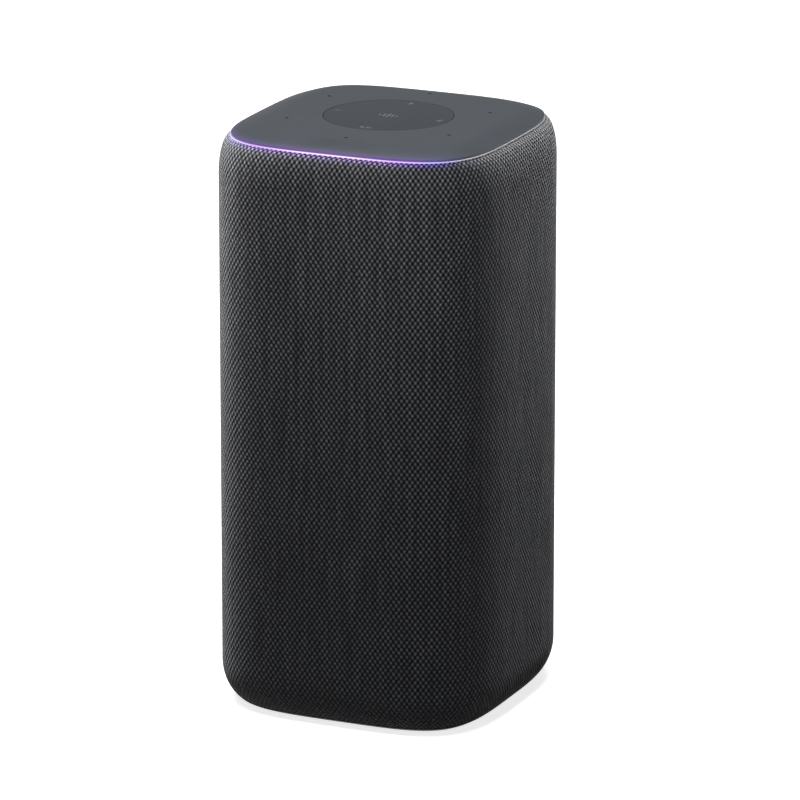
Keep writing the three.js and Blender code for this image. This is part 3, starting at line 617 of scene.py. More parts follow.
@dataclass(frozen=True)
class Cloth(Finish):
    """Plain weave: a light warp float, which is the finish's colour, a grey weft and a dark hole in turn.

    The height is cos(pi u) cos(pi v) in the thread units of the piece's own UV map, with uneven yarn.
    The colour follows the height: the dark hole colour in the low spots is partly the dark yarn and
    partly painted shade between the threads. Near the light ring the cloth carries a painted glow.
    """

    weft: Colour
    # colour of the low spots: partly the dark yarn, partly painted shade between the threads
    hole: Colour
    # painted light: the lamps' spill on the cloth below the ring, given as emission
    glow: float = 9.0
    glow_down: float = 0.8 * MM  # from the ring's top to where the painted glow on the cloth is brightest
    glow_reach: float = 3.2 * MM  # and from there down to where the painted glow ends

    def surface(self) -> Shader:
        """Builds its nodes."""
        shader = Shader(self.name, Roughness=0.8, Specular_IOR_Level=0.08, Sheen_Weight=0.08,
                        Sheen_Roughness=0.3)
        threads = shader.add("TexCoord").outputs["UV"]
        apart = shader.add("SeparateXYZ", {0: threads}).outputs
        across = shader.calc("COSINE", shader.calc("MULTIPLY", apart[0], math.pi))
        up = shader.calc("COSINE", shader.calc("MULTIPLY", apart[1], math.pi))
        weave = shader.calc("MULTIPLY", across, up)
        uneven = shader.noise(1.1, threads, 2)
        slub = shader.noise(1.0, shader.add("Mapping", {0: threads, 3: (0.5, 0.05, 1)}).outputs[0], 2)
        nudge = shader.calc("MULTIPLY", shader.calc("SUBTRACT", uneven, 0.5), 0.9)
        height = shader.calc("ADD", weave, nudge)
        level = shader.spread(height, 0, 1, (-1.2, 1.2))
        # the low spots take the dark hole colour: partly the dark yarn, partly painted shade between threads
        colour = shader.ramp(level, (0.28, self.hole), (0.5, self.weft), (0.82, self.colour))
        tone = shader.spread(slub, 0.66, 1.3)
        shader.set(Base_Color=shader.mixed("MULTIPLY", 1.0, colour, shader.grey(tone)))
        fibre = shader.noise(0.12, shader.add("Mapping", {0: threads, 3: (1, 0.25, 1)}).outputs[0], 3)
        relief = shader.calc("ADD", height, shader.calc("MULTIPLY", fibre, 0.5))
        shader.bump(relief, 0.4 * MM, 0.8)
        # painted light: the cloth glows in the lamps' colour below the ring, though the cloth is no lamp
        top = ring_level() - self.glow_down
        lit = shader.mixed("MULTIPLY", 1.0, colour, shader.halo(top - self.glow_reach, top))
        shader.set(Emission_Color=lit, Emission_Strength=self.glow)
        return shader


@dataclass(frozen=True)
class Netting(Finish):
    """A coarse resin-stiffened cotton or a doped silk: crossed waves of thread."""

    thread: float
    roughness: float = 0.8

    def surface(self) -> Shader:
        """Builds its nodes."""
        shader = Shader(self.name, Roughness=self.roughness, Sheen_Weight=0.2)
        place = shader.place()
        settings = {0: place, "Scale": BANDS / self.thread, "Distortion": 0.3}
        waves = [shader.add("TexWave", settings, bands_direction=way).outputs[1] for way in ("X", "Y")]
        weave = shader.calc("MULTIPLY", *waves)
        shader.set(Base_Color=self.toned(shader, weave, (0.1, 0.5), (0.7, 1.1)))
        shader.bump(weave, 0.1 * MM)
        return shader


@dataclass(frozen=True)
class Pulp(Finish):
    """Pressed paper pulp: felted fibres and a few long hairs."""

    def surface(self) -> Shader:
        """Builds its nodes."""
        shader = Shader(self.name, Roughness=0.8)
        fibres = shader.noise(0.7 * MM, shader.place((1, 4, 1)), 6)
        hairs = shader.noise(0.9 * MM, shader.place((5, 1, 1)), 4)
        felt = shader.calc("MAXIMUM", fibres, hairs)
        shader.set(Base_Color=self.toned(shader, felt, (0.45, 0.6), (0.75, 1.9)))
        shader.bump(felt, 0.15 * MM)
        return shader


@dataclass(frozen=True)
class Winding(Finish):
    """Enamelled wire wound on a former: one ridge for each turn along Z."""

    wire: float = 0.3 * MM

    def surface(self) -> Shader:
        """Builds its nodes."""
        shader = Shader(self.name, Metallic=0.9, Roughness=0.3)
        settings = {0: shader.place(), "Scale": BANDS / self.wire}
        turns = shader.add("TexWave", settings, bands_direction="Z").outputs[1]
        shader.set(Base_Color=self.toned(shader, turns, (0.1, 0.45), (0.6, 1.0)))
        shader.bump(turns, 0.1 * MM)
        return shader


@dataclass(frozen=True)
class SolderMask(Finish):
    """A circuit board: tracks under the solder mask, via holes with a tinned rim."""

    track: float = 1.3 * MM
    tin: Colour = srgb(190, 180, 140)

    def surface(self) -> Shader:
        """Builds its nodes."""
        shader = Shader(self.name, Roughness=0.35)
        place = shader.place()
        cells = shader.add(
            "TexVoronoi", {"Vector": place, "Scale": 0.14 / self.track}, distance="CHEBYCHEV", feature="F1"
        )
        bands = shader.calc("PINGPONG", cells.outputs["Distance"], 0.12)
        masked = self.toned(shader, bands, (0.05, 0.75), (0.07, 1.5))
        vias = shader.add("TexVoronoi", {"Vector": place, "Scale": 0.25 / self.track}, feature="F1")
        rim = shader.calc("LESS_THAN", vias.outputs["Distance"], 0.1)
        shader.set(Base_Color=shader.mixed("MIX", rim, masked, self.tin), Metallic=rim)
        shader.bump(bands, 0.05 * MM)
        return shader


@dataclass(frozen=True)
class Glow(Finish):
    """Frosted plastic lit from below along the front, pale grey where its lamps are off."""

    strength: float

    def surface(self) -> Shader:
        """Builds its nodes."""
        shader = Shader(self.name, Roughness=0.4, Emission_Strength=self.strength)
        frost = shader.noise(1.5 * MM, shader.place(), 3)
        grey = self.toned(shader, frost, (0.3, 0.9), (0.7, 1.0))
        lamps = shader.lamps()
        shader.set(Base_Color=shader.mixed("SUBTRACT", 1.0, grey, lamps), Emission_Color=lamps)
        shader.bump(frost, 0.02 * MM)
        return shader


@dataclass(frozen=True)
class PaintedGlowRim(Moulded):
    """Moulded plastic whose rim carries a painted glow in the colour of the light ring's lamps under it."""

    # painted light: the lamps' spill on the cover's rim, given as emission
    glow: float = 0.45
    glow_down: float = 0.4 * MM  # from the ring's top to where the painted glow on the rim is brightest
    glow_reach: float = 2.8 * MM  # and from there up to where the painted glow ends

    def surface(self) -> Shader:
        """Builds its nodes."""
        shader = super().surface()
        foot = ring_level() - self.glow_down
        # painted light: the rim glows in the lamps' colour, though the cover is no lamp
        lit = shader.halo(foot + self.glow_reach, foot)
        shader.set(Emission_Color=lit, Emission_Strength=self.glow)
        return shader


@functools.lru_cache
def material_of(finish: Finish) -> bpy.types.Material:
    """The finish's material, made once."""
    return finish.surface().material


@dataclass(frozen=True)
class Palette:
    """The finishes of the speaker, each under the record's name for its slot."""

    # the cloth's hole colour is partly painted shade, and the cloth has a painted glow near the ring
    fabric: Cloth = Cloth("woven_cloth", srgb(87, 88, 91), srgb(44, 45, 47), srgb(17, 17, 18))
    # the cover's finish has a painted glow on its rim near the light ring
    cover_plastic: PaintedGlowRim = PaintedGlowRim(
        "satin_grey_plastic", srgb(61, 65, 70), 0.46, contrast=0.03, specular=0.42
    )
    disc_plastic: Moulded = Moulded(
        "satin_disc_plastic", srgb(52, 55, 60), 0.46, contrast=0.03, specular=0.34
    )
    print_ink: Moulded = Moulded("pale_print_ink", srgb(96, 99, 104), 0.5, specular=0.2)
    diffuser: Glow = Glow("frosted_diffuser", srgb(190, 190, 196), 1.0)
    black_plastic: Moulded = Moulded("black_plastic", srgb(34, 35, 37), 0.5)
    cabinet_plastic: Moulded = Moulded("cabinet_plastic", srgb(44, 46, 49), 0.45, grain=0.6 * MM)
    circuit_board: SolderMask = SolderMask("green_solder_mask", srgb(24, 92, 54))
    black_board: SolderMask = SolderMask("black_solder_mask", srgb(24, 27, 30))
    paper: Pulp = Pulp("cone_pulp", srgb(30, 30, 32))
    rubber: Moulded = Moulded("soft_rubber", srgb(28, 28, 29), 0.72, grain=0.8 * MM, depth=0.03 * MM)
    spider_cloth: Netting = Netting("stiffened_cotton", srgb(186, 150, 84), 0.5 * MM)
    coil_wire: Winding = Winding("enamelled_copper", srgb(206, 128, 72))
    steel: Metal = Metal("zinc_plated_steel", srgb(178, 182, 188), 0.34)
    ferrite: Moulded = Moulded("sintered_ferrite", srgb(62, 63, 66), 0.6, grain=0.2 * MM, contrast=0.2)
    aluminium: Metal = Metal("satin_aluminium", srgb(196, 198, 202), 0.38)
    brass: Metal = Metal("plated_brass", srgb(214, 176, 98), 0.28)
    silk: Netting = Netting("doped_silk", srgb(36, 37, 40), 0.25 * MM, 0.5)
    ferrite_core: Moulded = Moulded("taped_core", srgb(196, 168, 62), 0.4, contrast=0.15)
    mic_can: Metal = Metal("gold_can", srgb(208, 176, 112), 0.3)
    chip: Moulded = Moulded("chip_resin", srgb(38, 38, 40), 0.55, grain=0.1 * MM)
    socket: Moulded = Moulded("socket_plastic", srgb(222, 214, 192), 0.45)


PALETTE = Palette()


def dress(piece: Piece, slot: str, replaces: tuple[str, ...], finish: Finish | None = None) -> None:
    """Gives a new piece the finish of its slot, and hides the frame's nodes that it stands for.

    Args:
        piece: The piece.
        slot: The record's material slot that it belongs to.
        replaces: The frame's nodes that it stands for.
        finish: Its finish, where that isn't the slot's own.
    """
    piece.data.materials.clear()
    piece.data.materials.append(material_of(finish or getattr(PALETTE, slot)))
    if replaces:
        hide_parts(*replaces)


def fit(piece: Piece, slot: str, replaces: tuple[str, ...] = (), body: str = HOUSING,
        finish: Finish | None = None) -> None:
    """Dresses a piece, as dress does, and sets it on the body that it moves with."""
    dress(piece, slot, replaces, finish)
    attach(piece, body)
    LOG.info("%s: %d faces, on %s", piece.name, len(piece.data.polygons), body)


def flexing(piece: Piece, slot: str, node: str, body: str, distance: np.ndarray,
            edges: tuple[float, float]) -> None:
    """Dresses a surround or spider, which is fixed along one edge and carried by the driver along the other.

    Each point's share of the driver's motion is worked out as s^2 (3 - 2s), where s goes from 0 at
    the fixed edge to 1, but it is not applied to the piece.

    Args:
        piece: The piece.
        slot: The record's material slot.
        node: The frame's node that it stands for.
        body: The moving body.
        distance: Distance of each vertex from the driver's axis.
        edges: That distance at the fixed edge and at the moving edge.
    """
    dress(piece, slot, (node,))
    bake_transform(piece)
    fixed, moving = edges
    share = np.clip((fixed - distance) / (fixed - moving), 0, 1)
    share = share**2 * (3 - 2 * share)
    LOG.info("%s flexes between %s and %s", piece.name, HOUSING, body)


def vertices(piece: Piece) -> np.ndarray:
    """The places of a piece's vertices."""
    flat = np.zeros(len(piece.data.vertices) * 3, np.float32)
    piece.data.vertices.foreach_get("co", flat)
    return flat.reshape(-1, 3).astype(float)


# ---- The skin ------------------------------------------------------------------------------------
@dataclass
class Sleeve:
    """The woven sleeve: one cloth, turned under at the hem and tucked behind the light ring."""

    column: Column
    warp: int = 380  # threads round the column
    weft: float = 1.82 * MM  # height of a thread
    relief: float = 0.15 * MM  # how far a thread stands out or falls back
    proud: float = 1.0 * MM  # how far the turned top edge stands above the plain one
    tuck: float = 5.5 * MM  # cloth turned inside at each end
    inner: float = 0.95 * MM  # depth of the turned cloth under the outer one
    seam_depth: float = 0.35 * MM  # of the bonded seam up the back
    arch_half: float = 7.2 * MM  # gap for the mains lead
    arch_foot: float = 4.5 * MM
    pull: float = 34 * MM  # height over which the cloth draws up over that gap

    def path(self, total: float) -> tuple[np.ndarray, np.ndarray]:
        """The cloth's way in length along the skin and depth under it, one step to a thread.

        It starts inside the hem, turns round it, climbs the skin and turns in again at the top.
        """
        middle, turn = (self.inner + self.relief) / 2, (self.inner - self.relief) / 2
        hem = arc((0, middle), (turn, turn), 270, 90, 4)[1:-1] * np.array((1, -1)) + np.array((0, 2 * middle))
        top = hem[::-1] * np.array((-1, 1)) + np.array((total, 0))
        tuck = np.arange(self.tuck, 0, -self.weft)
        climb = np.linspace(0, total, round(total / self.weft) + 1)
        along = np.concatenate((tuck, hem[:, 0], climb, top[:, 0], total - tuck[::-1]))
        inside = np.full(len(tuck), self.inner)
        outside = np.full(len(climb), self.relief)
        return along, np.concatenate((inside, hem[:, 1], outside, top[:, 1], inside))

    def make(self) -> None:
        low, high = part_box("fabric_sleeve")
        length, line, normals = self.column.skin(low.z, high.z + self.proud)
        total = float(length[-1])
        along, depth = self.path(total)
        bearing = self.column.bearings(self.warp)
        foot = self.column.section(self.column.half, bearing)
        behind = np.where(foot[:, 1] > 0, np.abs(foot[:, 0]) / self.arch_half, 1)
        arch = self.arch_foot + np.sqrt(np.clip(1 - behind**2, 0, 1)) * self.arch_half - low.z
        lift = np.where(behind < 1, arch, 0)
        fade = np.clip(1 - along / self.pull, 0, 1) ** 2
        way = along[:, None] + lift * np.where(along < self.pull, fade, 0)[:, None]
        inner = np.clip(way, 0, total)
        reach, height, side, rise = (
            np.interp(inner, length, part) for part in (*line.T, *normals.T)
        )
        reach = reach - depth[:, None] * side
        height = height - depth[:, None] * rise + (way - inner)
        points = np.concatenate((self.column.section(reach, bearing[None]), height[..., None]), axis=-1)
        outward = np.cross(np.roll(points, -1, 1) - np.roll(points, 1, 1), np.gradient(points, axis=0))
        outward /= np.linalg.norm(outward, axis=-1, keepdims=True)
        parity = np.add.outer(np.arange(len(along)), np.arange(self.warp)) % 2
        seam = np.zeros(self.warp)
        seam[np.argmax(foot[:, 1] - np.abs(foot[:, 0]))] = self.seam_depth
        points += outward * (self.relief * (1 - 2 * parity) - seam)[..., None]

        faces = ring_faces(*points.shape[:2], closed=False)
        cloth = built("cloth_sleeve", points, faces.tolist(), tidy=False, sharp=180)
        rows, columns = len(along) - 1, self.warp
        row, column = np.divmod(np.arange(rows * columns), columns)
        threads = np.stack((column, row, column + 1, row, column + 1, row + 1, column, row + 1), axis=-1)
        chart = cloth.data.uv_layers.new(name="threads")
        chart.data.foreach_set("uv", threads.ravel().astype(np.float32))
        fit(cloth, "fabric", ("fabric_sleeve",))
        self.column.girth()


# ---- The top -------------------------------------------------------------------------------------
@dataclass
class Top:
    """The domed cover with its microphone ports, the touch disc with its marks, and the light ring."""

    column: Column
    curve: float = 15.5 * MM  # width of the cover's curved border
    rise: float = 3.5 * MM  # crown of the cover
    wall: float = 2.4 * MM
    edge: float = 0.3 * MM
    lip: float = 2.1 * MM  # overhang of the cover over the ring
    skirt: float = 1.8 * MM
    gap: float = 0.3 * MM  # round the disc
    drop: float = 0.45 * MM  # how far the ring's top lies below the plain one
    meet: float = 0.05 * MM  # from there up to the cover's edge
    groove_ease: float = 0.06 * MM  # rounding of the recess round the disc
    mic_circle: float = 49 * MM
    mic_radius: float = 0.95 * MM
    mic_count: int = 6
    ring_wall: float = 2.1 * MM
    ring_foot: float = 1.6 * MM
    ring_in: float = 1.6 * MM  # from the cover's skirt in to the edge of the foot
    turn: float = 0.15 * MM  # rounding of the cover's lower edge
    columns: int = 240
    mark_ring: float = 26.6 * MM  # radius on which the touch marks lie
    ink: float = 0.03 * MM

    def make(self) -> None:
        """Builds the three pieces and the marks."""
        self.make_cover()
        self.make_disc()
        self.make_ring()

    def make_cover(self) -> None:
        """The cover: a flat middle with a round recess, a border that falls as a sine, and a skirt."""
        low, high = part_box("top_cover")
        disc_low, disc_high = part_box("touch_disc")
        top, outer = high.z, high.x
        recess = disc_high.x + self.gap
        floor = disc_low.z - self.gap
        flat = outer - self.curve
        bearing = self.column.bearings(self.columns)
        rim = self.column.section(flat, bearing)
        towards = np.arctan2(rim[:, 1], rim[:, 0])

        def circle(radius: float, height: float) -> np.ndarray:
            """A round ring of points along the same bearings as the rim's."""
            flat_ring = radius * np.stack((np.cos(towards), np.sin(towards)), axis=-1)
            return np.column_stack((flat_ring, np.full(self.columns, height)))

        round_part = [circle(0, floor), circle(recess * 0.6, floor), circle(recess, floor)]
        ease = self.groove_ease
        round_part += [circle(recess, top - ease), circle(recess + 0.3 * ease, top - 0.3 * ease)]
        start = circle(recess + ease, top)
        share = np.linspace(0, 1, 11)[:, None, None]
        deck = start * (1 - share) + np.column_stack((rim, np.full(self.columns, top))) * share
        k = np.linspace(1, 0, 19)[1:]
        edge_z = top - self.rise
        border = np.column_stack((outer - self.curve * k, edge_z + self.rise * np.sin(k * math.pi / 2)))
        under, inner = top - self.wall, outer - self.lip
        skirt_in = inner - self.skirt
        k = np.linspace(0, 1, 9)
        ceiling = np.column_stack((
            skirt_in - (self.curve - self.skirt) * k,
            under - self.rise + self.rise * np.sin(k * math.pi / 2),
        ))
        foot = edge_z - self.edge
        turn, edge_foot = self.turn, ring_level() - self.drop + self.meet
        side = np.vstack((
            border,
            [(outer, edge_foot + turn), (outer - turn, edge_foot), (outer - 3 * turn, edge_foot)],
            [(outer - 3.5 * turn, foot), (inner, foot), (inner, low.z)],
            [(skirt_in, low.z)],
            ceiling,
            [(flat * 0.6, under), (0, under)],
        ))
        rings = np.concatenate((np.stack(round_part), deck, self.column.carried(side, self.columns)))
        cover = from_rings("domed_cover", rings)
        turn_step = 2 * math.pi / self.mic_count
        for i in range(self.mic_count):
            angle = (i + 0.5) * turn_step
            x, y = self.mic_circle * math.cos(angle), self.mic_circle * math.sin(angle)
            carved(cover, rod("port", x, y, under - self.wall, top + MM, self.mic_radius))
        fit(cover, "cover_plastic", ("top_cover",))

    def make_disc(self) -> None:
        """The touch disc with a fine round edge, and the marks printed on it."""
        low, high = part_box("touch_disc")
        profile = [(0, low.z), (high.x, low.z), (high.x, high.z), (0, high.z)]
        disc = from_rings("touch_plate", turned(eased(profile, 0.1 * MM, 4, closed=False), 160))
        fit(disc, "disc_plastic", ("touch_disc",))
        marks = prisms("touch_marks", self.marks(), high.z, high.z + self.ink)
        fit(marks, "disc_plastic", finish=PALETTE.print_ink)

    def marks(self) -> list[np.ndarray]:
        """Outlines of the touch marks: plus, minus, play and pause, a microphone, and five plain bars."""
        arm, line = 1.9 * MM, 0.28 * MM

        def bar(x: float, y: float, half_x: float, half_y: float) -> np.ndarray:
            """A rectangle round a point."""
            return np.array(SQUARE) * (half_x, half_y) + (x, y)

        ring = self.mark_ring
        plus = np.array([
            (line, -arm), (line, -line), (arm, -line), (arm, line), (line, line), (line, arm),
            (-line, arm), (-line, line), (-arm, line), (-arm, -line), (-line, -line), (-line, -arm),
        ]) + (ring, 0)
        minus = bar(-ring, 0, arm, line)
        play = np.array([(-2.6, -1.4), (-0.4, 0), (-2.6, 1.4)]) * MM + (0, -ring)
        pause = [bar(x * MM, -ring, 0.3 * MM, 1.4 * MM) for x in (0.7, 2.1)]
        capsule = np.vstack((
            arc((0, ring + 0.9 * MM), (0.75 * MM, 0.75 * MM), 0, 180, 10),
            arc((0, ring - 0.3 * MM), (0.75 * MM, 0.75 * MM), 180, 360, 10),
        ))
        cradle = np.vstack((
            arc((0, ring - 0.3 * MM), (1.7 * MM, 1.7 * MM), 180, 360, 14),
            arc((0, ring - 0.3 * MM), (1.35 * MM, 1.35 * MM), 360, 180, 14),
        ))
        stem = bar(0, ring - 2.5 * MM, 0.2 * MM, 0.5 * MM)
        heights = (1.1, 2.2, 3.2, 2.2, 1.1)
        level = [bar((i - 2) * 2.2 * MM, 0, 0.42 * MM, tall * MM) for i, tall in enumerate(heights)]
        return [plus, minus, play, *pause, capsule, cradle, stem, *level]

    def make_ring(self) -> None:
        """The light ring: an upright strip on a flat foot, with soft edges."""
        low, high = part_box("light_ring")
        top = high.z - self.drop
        foot_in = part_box("top_cover")[1].x - self.lip - self.skirt - self.ring_in
        profile = [
            (foot_in, low.z), (high.x, low.z), (high.x, top), (high.x - self.ring_wall, top),
            (high.x - self.ring_wall, low.z + self.ring_foot), (foot_in, low.z + self.ring_foot),
        ]
        ring = from_rings("light_strip", self.column.carried(eased(profile, 0.3 * MM, 3), 320), closed=True)
        fit(ring, "diffuser", ("light_ring",))


# ---- The base ------------------------------------------------------------------------------------
@dataclass
class Base:
    """The base cover with its groove, tray, lead arch and standoffs, and the rubber foot in the groove."""

    column: Column
    gap: float = 0.3 * MM
    floor: float = 3 * MM
    ease: float = 0.25 * MM  # rounding of its edges
    tray_in: float = 3.9 * MM  # from the rim in to the tray
    tray_top: float = 14 * MM
    tray_wall: float = 2.4 * MM
    slot_half: float = 4.5 * MM  # of the way out for the lead
    slot_straight: float = 4.5 * MM  # its height below the round part
    hood_wall: float = 1.5 * MM  # of the hood over it
    hood_top: float = 20 * MM
    hood_start: float = 2 * MM  # from the plug well in to where the hood starts
    tunnel_start: float = 10 * MM  # and to where the tunnel starts
    well_cut: float = 80 * MM  # height of the tool that cuts the well's hole
    foot_width: float = 6 * MM
    foot_rib: float = 1.2 * MM
    foot_open: float = 3 * MM  # how much wider than the slot the foot is open
    groove_top: float = 2.4 * MM
    screw_hole: float = 1.8 * MM
    screw_sink: float = 3.3 * MM
    sink_depth: float = 1.9 * MM
    standoff: float = 2.6 * MM
    standoff_x: float = 9 * MM  # from a screw in to the standoff
    standoff_y: float = 13 * MM  # from the tray's wall in to the standoff
    screw_shank: float = 1.5 * MM
    screw_head: float = 1.2 * MM  # height of the head
    thread_depth: float = 0.3 * MM
    thread_steps: int = 25
    columns: int = 240

    def arch(self, name: str, margin: float, start: float, low: float) -> Piece:
        """A tunnel with a round top along +Y, for the mains lead.

        Args:
            name: Name of the tool.
            margin: How much wider it is than the slot.
            start: Where it starts, in Y.
            low: Its lowest height.

        Returns:
            The tunnel as a solid.
        """
        reach = self.slot_half + margin
        crown = arc((0, self.slot_straight), (reach, reach), 0, 180, 24)
        outline = np.vstack(([(-reach, low), (reach, low)], crown))
        ends = [np.column_stack((outline[:, 0], np.full(len(outline), y), outline[:, 1]))
                for y in (start, self.column.half * 1.2)]
        return built(name, np.vstack(ends), prism_faces(len(outline)))

    def make(self) -> None:
        """Builds the base cover, the foot and the screws."""
        self.make_cover()
        self.make_foot()
        self.make_screws()

    def make_cover(self) -> None:
        """The base cover: rim, groove and tray in one outline, then its tunnel, well hole and posts."""
        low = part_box("base_cover")[0]
        foot_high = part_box("foot_ring")[1]
        well_low, well_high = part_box("plug_well")
        sleeve_low, sleeve_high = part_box("fabric_sleeve")
        line = self.column.skin(low.z, sleeve_high.z)[1]
        rim_z = sleeve_low.z - self.gap
        heights = np.linspace(low.z, rim_z, 6)
        rim = np.column_stack((np.interp(heights, line[:, 1], line[:, 0]), heights))
        foot_in, foot_out = foot_high.x - self.foot_width - self.gap, foot_high.x + self.gap
        tray = rim[-1, 0] - self.tray_in
        inside, floor_top = tray - self.tray_wall, low.z + self.floor
        profile = np.vstack((
            [(0, low.z), (foot_in, low.z), (foot_in, self.groove_top)],
            [(foot_out, self.groove_top), (foot_out, low.z)],
            rim,
            [(tray, rim_z), (tray, self.tray_top), (inside, self.tray_top)],
            [(inside, floor_top), (0, floor_top)],
        ))
        rings = self.column.carried(eased(profile, self.ease, 2, closed=False), self.columns)
        base = from_rings("base_shell", rings)

        hood = self.arch("hood", self.hood_wall, well_high.y - self.hood_start, low.z)
        reach, top = rim[-1, 0] + self.hood_wall, self.hood_top
        keep = self.column.carried([(0, -MM), (reach, -MM), (reach, top), (0, top)], self.columns)
        carved(base, carved(hood, from_rings("keep", keep), Merge.KEEP), Merge.JOIN)
        well = np.array(well_high - well_low) + 2 * self.gap
        middle = (well_low + well_high) / 2
        tall = np.array((well[0], well[1], self.well_cut))
        carved(base, blocks("hole", np.array((0, middle.y, 0)), tall, 0.2 * MM))
        carved(base, self.arch("tunnel", 0, well_high.y - self.tunnel_start, -MM))

        screw_low, screw_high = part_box("base_screw_1")
        leg = abs(screw_low.x + screw_high.x) / 2
        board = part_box("power_board")[0].z - self.gap
        for x, y in SQUARE:
            post_x, post_y = x * (leg - self.standoff_x), y * (inside - self.standoff_y)
            carved(base, rod("post", post_x, post_y, floor_top - MM, board, self.standoff), Merge.JOIN)
            carved(base, rod("bore", x * leg, y * leg, -MM, floor_top + MM, self.screw_hole))
            carved(base, rod("sink", x * leg, y * leg, -MM, low.z + self.sink_depth, self.screw_sink))
        fit(base, "black_plastic", ("base_cover",))

    def make_foot(self) -> None:
        """The foot: a strip of rubber with two fine ribs, open where the lead leaves."""
        low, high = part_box("foot_ring")
        inner, outer = high.x - self.foot_width, high.x
        rib, groove = self.foot_rib, 0.25 * MM
        profile = [
            (inner, low.z), (inner + 2 * rib, low.z), (inner + 2.2 * rib, low.z + groove),
            (outer - 2.2 * rib, low.z + groove), (outer - 2 * rib, low.z), (outer, low.z),
            (outer, high.z), (inner, high.z),
        ]
        foot = from_rings("rubber_foot", self.column.carried(eased(profile, 0.3 * MM, 2), 200), closed=True)
        carved(foot, self.arch("way_out", self.foot_open, 0, -MM))
        fit(foot, "rubber", ("foot_ring",))

    def make_screws(self) -> None:
        """Four base screws: a pan head with a cross recess and a ridged thread."""
        shank, edge, count = self.screw_shank, 0.5 * MM, self.thread_steps
        for i in range(1, 5):
            node = f"base_screw_{i}"
            low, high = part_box(node)
            x, y = (low.x + high.x) / 2, (low.y + high.y) / 2
            head, neck = (high.x - low.x) / 2, low.z + self.screw_head
            turns = np.linspace(neck + 0.4 * MM, high.z - MM, count)
            ridges = np.column_stack((shank - self.thread_depth * (np.arange(count) % 2), turns))
            profile = np.vstack((
                [(0, low.z)], arc((head - edge, low.z + edge), (edge, edge), 270, 360, 4),
                [(head, neck), (shank, neck)], ridges, [(self.thread_depth, high.z), (0, high.z)],
            ))
            screw = from_rings(f"pan_screw_{i}", turned(profile, 32) + np.array((x, y, 0)))
            for size in ((3.8, 0.9, 1.6), (0.9, 3.8, 1.6)):
                carved(screw, blocks("cross", np.array((x, y, low.z)), np.array(size) * MM, 0.05 * MM))
            fit(screw, "steel", (node,))


# ---- The drivers ---------------------------------------------------------------------------------
def band(reach: np.ndarray, under: np.ndarray, over: np.ndarray) -> np.ndarray:
    """The closed outline between two lines over the same reaches."""
    return np.vstack((np.column_stack((reach, under)), np.column_stack((reach, over))[::-1]))


def round_size(node: str) -> tuple[float, float]:
    """Height of the axis and radius of a round node that faces sideways."""
    low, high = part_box(node)
    return (low.z + high.z) / 2, (high.z - low.z) / 2


@dataclass(frozen=True)
class Roll:
    """A surround: a half-circle of rubber between two flat lands, of even thickness."""

    driver: str  # name of the driver, which its node and its body start with
    piece: str
    outer: float  # its outer radius
    inner: float  # radius of its inner land
    level: float  # level of its lands
    wall: float
    land: float = 1.0 * MM
    bearing: float | None = None  # the way it faces, or None where it faces up
    height: float = 0  # of its axis where it faces sideways

    def make(self) -> None:
        """Builds it and dresses it."""
        middle = (self.outer + self.inner + self.land) / 2
        radius = self.outer - middle
        thin = radius - self.wall
        profile = np.vstack((
            arc((middle, self.level), (radius, radius), 0, 180, 16),
            [(self.inner, self.level + self.wall), (self.inner, self.level)],
            arc((middle, self.level), (thin, thin), 180, 0, 16),
        ))
        rings = turned(profile, 120)
        if self.bearing is not None:
            rings = laid(rings, self.bearing, self.height)
        strip = from_rings(self.piece, rings, True)
        place = vertices(strip)
        if self.bearing is None:
            distance = np.linalg.norm(place[:, :2], axis=1)
        else:
            side = place @ np.array((-math.sin(self.bearing), math.cos(self.bearing), 0))
            distance = np.hypot(side, place[:, 2] - self.height)
        edges = (self.outer, self.inner + self.land)
        flexing(strip, "rubber", f"{self.driver}_surround", f"{self.driver}_mover", distance, edges)


